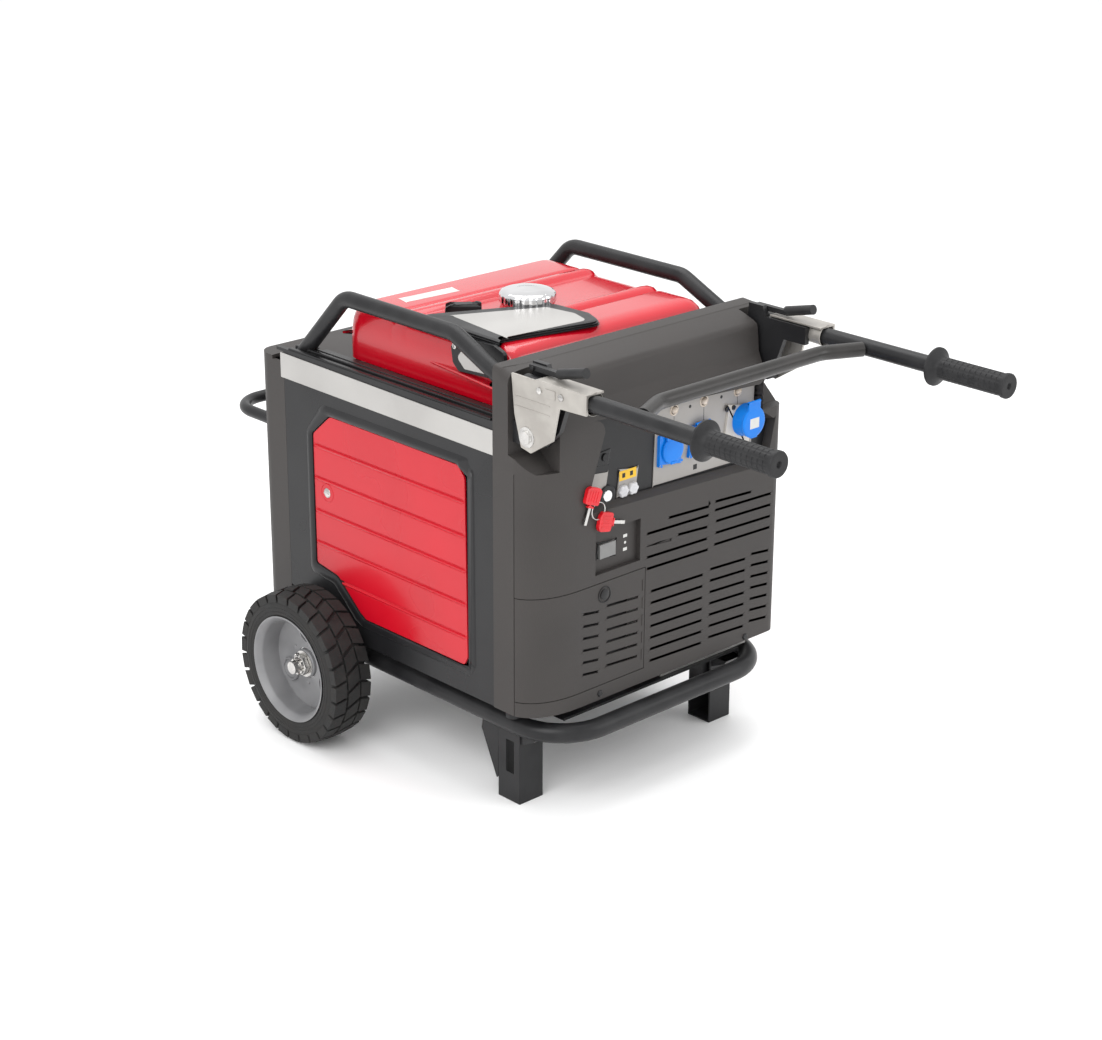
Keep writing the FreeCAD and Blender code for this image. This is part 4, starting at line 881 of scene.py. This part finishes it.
lamps = [lathe([(0, 0), (0, 3.4), (0.9, 3.2), (1.8, 1.8), (2.0, 0)], (x, plate_face, 583), "-y", 20)
         for x in (-151, -138)]
made("status_lamps", together(*lamps), surface("lamp_smoke", (0.05, 0.045, 0.03), (0.07, 0.06, 0.04),
     (0.12, 0.2), depth=0.01, Coat_Weight=0.6), "machine")
tiny = []
for x, z, wide, high in ((-153, 567, 8, 5), (-139, 568, 6, 2.4), (-129, 568, 5, 2.4), (-118, 567, 2, 7),
                         (-154, 556, 5, 2), (-146, 556, 5, 2), (-138, 556, 5, 2), (-130, 556, 5, 2),
                         (-122, 556, 5, 2)):
    tiny.append(slab((x - wide / 2, plate_face - 0.25, z - high / 2),
                     (x + wide / 2, plate_face, z + high / 2)))
made("status_marks", together(*tiny), mark_white, "machine")
screen_glass = surface("screen_glass", (0.050, 0.047, 0.020), (0.062, 0.058, 0.026), (0.10, 0.16), depth=0.01,
                       Coat_Weight=0.7)
made("display_screen", slab((-161, plate_face - 0.9, 529), (-127, plate_face, 547), soft=0.5), screen_glass,
     "machine")
made("display_bezel", between(rounded(-162, 528, -126, 548, 1.5, 2),
                              rounded(-165, 525, -99, 551, 2.5, 2), "xz",
                              [(0, plate_face - 0.9), (0.08, plate_face - 1.3), (0.92, plate_face - 0.7),
                               (1, plate_face), (0, plate_face)]), satin_black, "machine")
softened("display_button", "mode_button_cap", satin_black, "mode_button", edge=0.8)

# ---- Outlets
# Two blue moulded outlets with round sprung lids, and one large round outlet with its own sloping
# lid on a bolted metal plate. Each lid turns on a pin along its top edge.
outlet_blue = surface("outlet_blue", (0.001, 0.15, 0.58), (0.001, 0.18, 0.66), (0.28, 0.38), grain=0.0008,
                      depth=0.05, patch=0.05, Specular_IOR_Level=0.3)
beige_metal = surface("beige_metal", (0.46, 0.43, 0.38), (0.53, 0.50, 0.45), (0.36, 0.48), grain=0.0007,
                      depth=0.06, patch=0.06)
outlet_x, outlet_z, outlet_face = (21.5, 84.5), 520.0, -162.7
sockets = []
for x in outlet_x:
    frame_line = rounded(x - 26, outlet_z - 26, x + 26, outlet_z + 26, 3.5, 4)
    bore = together(lathe([(-8, 0), (-8, 18.5), (5, 18.5), (5, 0)], (x, outlet_face, outlet_z), "y", 48))
    sockets.append(carved(prism(frame_line, "xz", outlet_face, 7.0), bore, "DIFFERENCE"))
    for pin in (-9.5, 9.5):
        sockets.append(lathe([(0, 0), (0, 2.6), (0.4, 2.6), (0.4, 0)], (x + pin, -157.5, outlet_z), "-y", 16))
    for dx, dz in ((-21.5, -21.5), (-21.5, 21.5), (21.5, -21.5), (21.5, 21.5)):
        sockets.append(lathe([(0, 0), (0, 2.4), (0.5, 2.1), (0.5, 0)], (x + dx, outlet_face, outlet_z + dz),
                             "-y", 16))
made("outlet_sockets", together(*sockets), outlet_blue, "machine", stands_for=("outlets",),
     edge=0.5)
for number, x in enumerate(outlet_x, start=1):
    lid = lathe([(0, 0), (0, 21.6), (2.4, 21.6), (3.6, 20.4), (3.9, 17), (4.4, 15.5), (4.4, 0)],
                (x, -163.3, outlet_z), "-y", 56)
    hinge = together(slab((x - 15, -167.6, 537), (x + 15, -163.3, 549.5), soft=1.0),
                     lathe([(-15, 0), (-15, 2.2), (15, 2.2), (15, 0)], (x, -165.6, 549), "x", 20))
    grip = slab((x - 6, -168.0, 498.6), (x + 6, -163.4, 503), soft=0.8)
    made(f"outlet_cover_{number}", together(lid, hinge, grip), outlet_blue, f"lid_{number}",
         stands_for=(f"outlet_lid_{number}",), smooth=45)
big_x, big_z = 180.0, 531.0
base_line = rounded(134, 474, 203.5, 562, 6, 4)
base_back = -160.4
base_bolts = [lathe([(0, 0), (0, 3.8), (1.6, 3.6), (2.2, 2.2), (2.2, 0)], (x, base_back, z), "-y", 20)
              for x, z in ((141, 481), (141, 555), (197, 481), (156, 555))]
made("large_outlet_plate", prism(base_line, "xz", base_back, 4.9), beige_metal, "machine",
     stands_for=("large_outlet",), edge=0.8)
made("large_outlet_bolts", together(*base_bolts), satin_black, "machine")
barrel = lathe([(0, 15), (0, 25.5), (4, 25.5), (5.5, 24), (16.0, 24), (17.3, 23), (17.3, 19.5), (4, 18.5),
                (4, 0), (1, 0)], (big_x, base_back, big_z), "-y", 56)
made("large_outlet_barrel", barrel, outlet_blue, "machine", smooth=45)
big_lid = together(
    lathe([(0, 0), (0, 24.2), (2.6, 24.6), (4.2, 23.4), (4.8, 20), (4.8, 0)],
          (big_x, -178.3, big_z), "-y", 56),
    slab((big_x - 13, -182.9, 549), (big_x + 13, -178.4, 564.5), soft=1.2),
    lathe([(-13, 0), (-13, 2.4), (13, 2.4), (13, 0)], (big_x, -180.7, 563), "x", 20),
    slab((big_x - 7, -183.0, 506.4), (big_x + 7, -178.5, 511), soft=1.0))
made("large_outlet_cover", big_lid, outlet_blue, "lid_large", stands_for=("large_outlet_lid",),
     smooth=45)
made("large_cover_label", slab((big_x - 10, -183.25, 522), (big_x + 10, -183.0, 538)), label_paper,
     "lid_large")

# ---- Breakers
# Three push-to-reset breakers under soft clear caps, each in its own hole in the printed plate.
cap_clear = surface("cap_clear", (0.60, 0.50, 0.40), (0.72, 0.63, 0.54), (0.16, 0.26), grain=0.0006,
                    depth=0.03, patch=0.01, Transmission_Weight=0.25, Coat_Weight=0.3)
for number, x in enumerate(breaker_x, start=1):
    shape = lathe([(-14, 0), (-14, 5.6), (0.2, 5.8), (3.6, 5.8), (5.4, 4.8), (6.6, 3.2), (6.9, 0)],
                  (x, plate_face, breaker_z), "-y", 32)
    made(f"breaker_cap_{number}", shape, cap_clear, f"breaker_{number}",
         stands_for=(f"breaker_button_{number}",), smooth=40)
rings = [lathe([(1.5, 6.9), (1.5, 9.2), (2.3, 8.8), (2.3, 6.9)], (x, plate_face, breaker_z), "-y", 32)
         for x in breaker_x]
made("breaker_rings", together(*rings), cap_clear, "machine")

# ---- Key lock, twin sockets and keys
# A chromed lock barrel in a black collar on a light plate, two small round sockets under clear
# scalloped caps beside it, and two red moulded keys that hang on a wire ring.
label_yellow = surface("label_yellow", (0.62, 0.36, 0.006), (0.70, 0.42, 0.010), (0.35, 0.45), depth=0.02)
cap_milky = surface("cap_milky", (0.56, 0.56, 0.58), (0.66, 0.66, 0.68), (0.14, 0.24), depth=0.03,
                    Transmission_Weight=0.2, Coat_Weight=0.4)
made("key_plate", prism(rounded(-165, 481, -104, 520, 3, 3), "xz",
                        plate_face - 0.8, 0.75), plate_grey, "machine", edge=0.2)
lock_at = (-107, plate_face, 478)
made("key_collar", lathe([(0, 9.3), (0, 16), (3.2, 16), (4.4, 14.6), (4.5, 12.2), (3.6, 9.3)],
                         lock_at, "-y", 56), panel_black, "machine",
     stands_for=("key_lock",), smooth=40)
made("key_cylinder", together(
    lathe([(-13.5, 0), (-13.5, 9.0), (3.2, 9.0), (3.9, 8.2), (4.0, 0)], lock_at, "-y", 48),
    slab((-107.7, plate_face - 4.3, 473.5), (-106.3, plate_face - 3.9, 482.5))), cap_chrome, "lock_barrel",
    stands_for=("key_barrel",), smooth=40)
twin_face = -157.7
twin = [prism(rounded(-88, 464, -43, 513, 3.5, 3), "xz", twin_face, 2.1)]
made("twin_socket_plate", together(*twin), plate_grey, "machine",
     stands_for=("parallel_sockets",), edge=0.3)
made("twin_socket_label", slab((-83, -158.0, 494), (-48, twin_face, 509)), label_yellow, "machine")
small = [slab((x - 3, -158.15, 498), (x + 3, -158.0, 505)) for x in (-74, -58)]
made("twin_socket_marks", together(*small), panel_black, "machine")
lobes = []
for x in (-76, -56):
    scalloped = bmesh.new()
    rows = []
    for deep, radius, lobe in ((0, 9.4, 0.5), (3.4, 9.4, 0.9), (4.8, 8.6, 0.7), (5.6, 6.6, 0.1),
                               (5.2, 4.4, 0), (4.2, 3.2, 0)):
        row = []
        for a in (2 * math.pi * k / 48 for k in range(48)):
            r = radius + lobe * math.cos(6 * a)
            row.append(scalloped.verts.new((x + r * math.cos(a), twin_face - deep, 478 + r * math.sin(a))))
        rows.append(row)
    lobes.append(join_rings(scalloped, rows, ends=True))
made("twin_socket_caps", together(*lobes), cap_milky, "machine", smooth=45)
key_plastic = surface("key_plastic", (0.52, 0.004, 0.010), (0.62, 0.008, 0.016), (0.30, 0.42), grain=0.0008,
                      depth=0.05, patch=0.03)
heads, blades = [], []
for x, z, tilt, blade in ((-154, 490, 20, 26), (-124, 447, -75, 24)):
    turned_key = Matrix.Translation((x, 0, z)) @ Matrix.Rotation(math.radians(tilt), 4, "Y")
    head = together(
        prism(smooth_corners([(-14, -9), (14, -9), (15, 13), (8, 17), (-8, 17), (-15, 13)],
                             [4, 4, 5, 5, 5, 5], 4), "xz", -177.4, 6.0),
        prism(smooth_corners([(-6, -14), (6, -14), (8, -8), (-8, -8)], 2, 3), "xz", -176.6, 4.4),
        *[slab((gx - 1.1, -178.0, -5), (gx + 1.1, -177.2, 12), soft=0.3) for gx in (-8, -2.7, 2.7, 8)])
    head.transform(turned_key)
    heads.append(head)
    steel_blade = slab((-2.6, -175.3, -14 - blade), (2.6, -173.5, -13), soft=0.4)
    steel_blade.transform(turned_key)
    blades.append(steel_blade)
ring = wire_ring(1.0, 13, (-141, -174.4, 468), 48)
made("key_heads", together(*heads), key_plastic, "machine", stands_for=("keys",), edge=0.6)
made("key_blades", together(ring, *blades), bright_steel, "machine")

# ---- Rocker switch
# A grey rocker on a pin in its pocket, with white marks moulded beside it.
rocker_grey = surface("rocker_grey", (0.15, 0.15, 0.15), (0.19, 0.19, 0.185), (0.35, 0.45), grain=0.0006,
                      depth=0.06, patch=0.03)
softened("eco_rocker", "rocker_cap", rocker_grey, "rocker", edge=1.4)
bezel = between(rounded(-133, 386.5, -95, 410.5, 1.5, 3),
                rounded(-136, 383.5, -92, 413.5, 2.5, 3), "xz",
                [(0, -162.8), (0, -164.2), (0.4, -164.8), (1, -164.0), (1, -162.8)])
made("rocker_bezel", bezel, satin_black, "machine")
pocket_marks = [slab((-78, -162.95, z - 2.4), (-70, pocket_floor, z + 2.4)) for z in (409, 388)]
pocket_marks.append(lathe([(0, 0), (0, 2.2), (0.25, 2.2), (0.25, 0)], (-74, pocket_floor, 398.5), "-y", 16))
made("rocker_marks", together(*pocket_marks), mark_white, "machine")

# ---- Lift handles
# Black tubes held in bright folded aluminium brackets that turn on a bolt at each side. Black plates
# stand behind them, ribbed plastic levers lock them, and the grips are moulded rubber.
bracket_alu = surface("bracket_alu", (0.35, 0.33, 0.305), (0.43, 0.41, 0.38), (0.34, 0.46), grain=0.0009,
                      depth=0.12, patch=0.03, Metallic=0.65)
lever_plastic = surface("lever_plastic", (0.013, 0.013, 0.014), (0.020, 0.020, 0.021), (0.36, 0.48),
                        grain=0.0009, depth=0.14, patch=0.03, Specular_IOR_Level=0.28)
grip_rubber = surface("grip_rubber", (0.013, 0.013, 0.014), (0.021, 0.021, 0.022), (0.48, 0.62), grain=0.0010,
                      depth=0.22, patch=0.02, Specular_IOR_Level=0.25)
tubes = softened("handle_tubes", "lift_tubes", powder_black, "handle", edge=0.4)
tubes.data.materials.append(crossbar_painted_sheen)
# The crossbar faces take the lighter copy of the coat, a painted highlight.
crossbar_reach = 0.2265
for face in tubes.data.polygons:
    if abs(face.center.x) < crossbar_reach:
        face.material_index = 1
softened("handle_brackets", "lift_brackets", bracket_alu, "handle", edge=1.4)
softened("inner_plates", "lift_inner_plates", satin_black, "handle", edge=1.0)
tube_x, tube_z = 240.4, 672.8
sleeve = lathe([(-218, 12.8), (-218, 14.6), (-250, 14.8), (-260, 15.8), (-266, 17.0), (-266.4, 16.4),
                (-260, 14.6), (-252, 12.8)], (0, 0, 0), "y", 48)
sleeve.transform(Matrix.Translation((tube_x, 0, tube_z)))
lines = [slab((256.9, -195, z), (257.9, -124, z + 1.6), soft=0.3) for z in (655, 641)]
small_plate = slab((256.9, -206, 667), (258.4, -186, 680), soft=0.6)
fittings = together(sleeve, *lines, small_plate)
made("bracket_details", both_sides(fittings), bracket_alu, "handle", edge=0.3)
rivet_x = 257.2
rivets = together(*[lathe([(0, 0), (0, 5.4), (1.6, 5.0), (2.8, 2.6), (3.0, 0)], (rivet_x, y, 674), "x", 24)
                    for y in (-174, -217.5)],
                  lathe([(0, 0), (0, 15.5), (1.4, 15.0), (1.4, 10), (2.6, 9.4), (3.6, 6), (3.8, 0)],
                        (rivet_x, -148.7, 600), "x", 40))
made("bracket_rivets", both_sides(rivets), bright_steel, "handle")
for side in ("right", "left"):
    softened(f"{side}_lock_lever", f"{side}_lever_body", lever_plastic, f"{side}_lever",
             edge=1.2)


def grip(x):
    """One rubber grip: a wide flange, a waist with a raised grid, and a closed end."""
    shape = bmesh.new()
    count = 72
    path = [(-468.2, 12.9, 0), (-468.2, 26.5, 0), (-469.6, 28.2, 0), (-472.4, 28.2, 0), (-474.4, 25.5, 0),
            (-478, 19.6, 0), (-483, 17.0, 0)]
    place = -485.0
    while place > -589:
        path += [(place, 16.6, 1), (place - 6.6, 16.6, 1), (place - 7.4, 15.7, 0), (place - 8.4, 15.7, 0)]
        place -= 9.2
    path += [(-591, 16.6, 0), (-592, 18.2, 0), (-596.5, 18.4, 0), (-598.6, 17.2, 0), (-599, 14, 0),
             (-598.2, 5, 0), (-595, 3.4, 0), (-595, 0.6, 0)]
    rows = []
    for y, radius, grooved in path:
        row = []
        for k in range(count):
            a = 2 * math.pi * k / count
            r = radius - (0.9 if grooved and k % 6 == 0 else 0)
            row.append(shape.verts.new((x + r * math.cos(a), y, tube_z + r * math.sin(a))))
        rows.append(row)
    return join_rings(shape, rows + rows[:1])


made("handle_grip_sleeves", together(grip(tube_x), grip(-tube_x)), grip_rubber, "handle",
     stands_for=("handle_grips",), smooth=40)

# ---- Rear cover
# A moulded dark grey cover over the engine end, of the same plastic as the front cover. It has
# rounded edges, and slots across its back let the cooling air out.
softened("rear_cover", "engine_cover", shell_grey, "machine", edge=2.4)

# ---- Engine, alternator and electrics
# The working parts under the covers: cast aluminium engine, finned head, iron rotor in a copper
# wound stator, plastic fan and shroud, lead battery, and the finned inverter.
engine_alu = surface("engine_alu", (0.30, 0.30, 0.29), (0.40, 0.40, 0.385), (0.42, 0.58), grain=0.0014,
                     depth=0.25, patch=0.05, speck=0.1, Metallic=0.8)
core_iron = surface("core_iron", (0.07, 0.068, 0.066), (0.11, 0.105, 0.10), (0.45, 0.6), grain=0.0012,
                    depth=0.2, patch=0.04, Metallic=0.7)
core_copper = surface("core_copper", (0.34, 0.12, 0.045), (0.44, 0.17, 0.07), (0.3, 0.42), grain=0.0012,
                      depth=0.3, patch=0.02, Metallic=0.85)
duct_plastic = surface("duct_plastic", (0.016, 0.016, 0.017), (0.024, 0.024, 0.025), (0.48, 0.6), grain=0.001,
                       depth=0.15, patch=0.05)
battery_plastic = surface("battery_plastic", (0.022, 0.022, 0.025), (0.030, 0.030, 0.034), (0.36, 0.46),
                          grain=0.0009, depth=0.10, patch=0.05)
heat_steel = surface("heat_steel", (0.20, 0.185, 0.17), (0.29, 0.27, 0.25), (0.36, 0.52), grain=0.0012,
                     depth=0.15, patch=0.05, speck=0.15, Metallic=0.85)
dress(engine_alu, "crankcase", "cylinder", "cylinder_head", "carburettor", "inverter_unit")
dress(core_iron, "alternator_rotor")
dress(core_copper, "alternator_stator")
dress(duct_plastic, "cooling_fan", "fan_shroud", "air_cleaner", "fuel_pump")
dress(battery_plastic, "battery")
dress(heat_steel, "silencer")
dress(grip_rubber, "rubber_mounts")
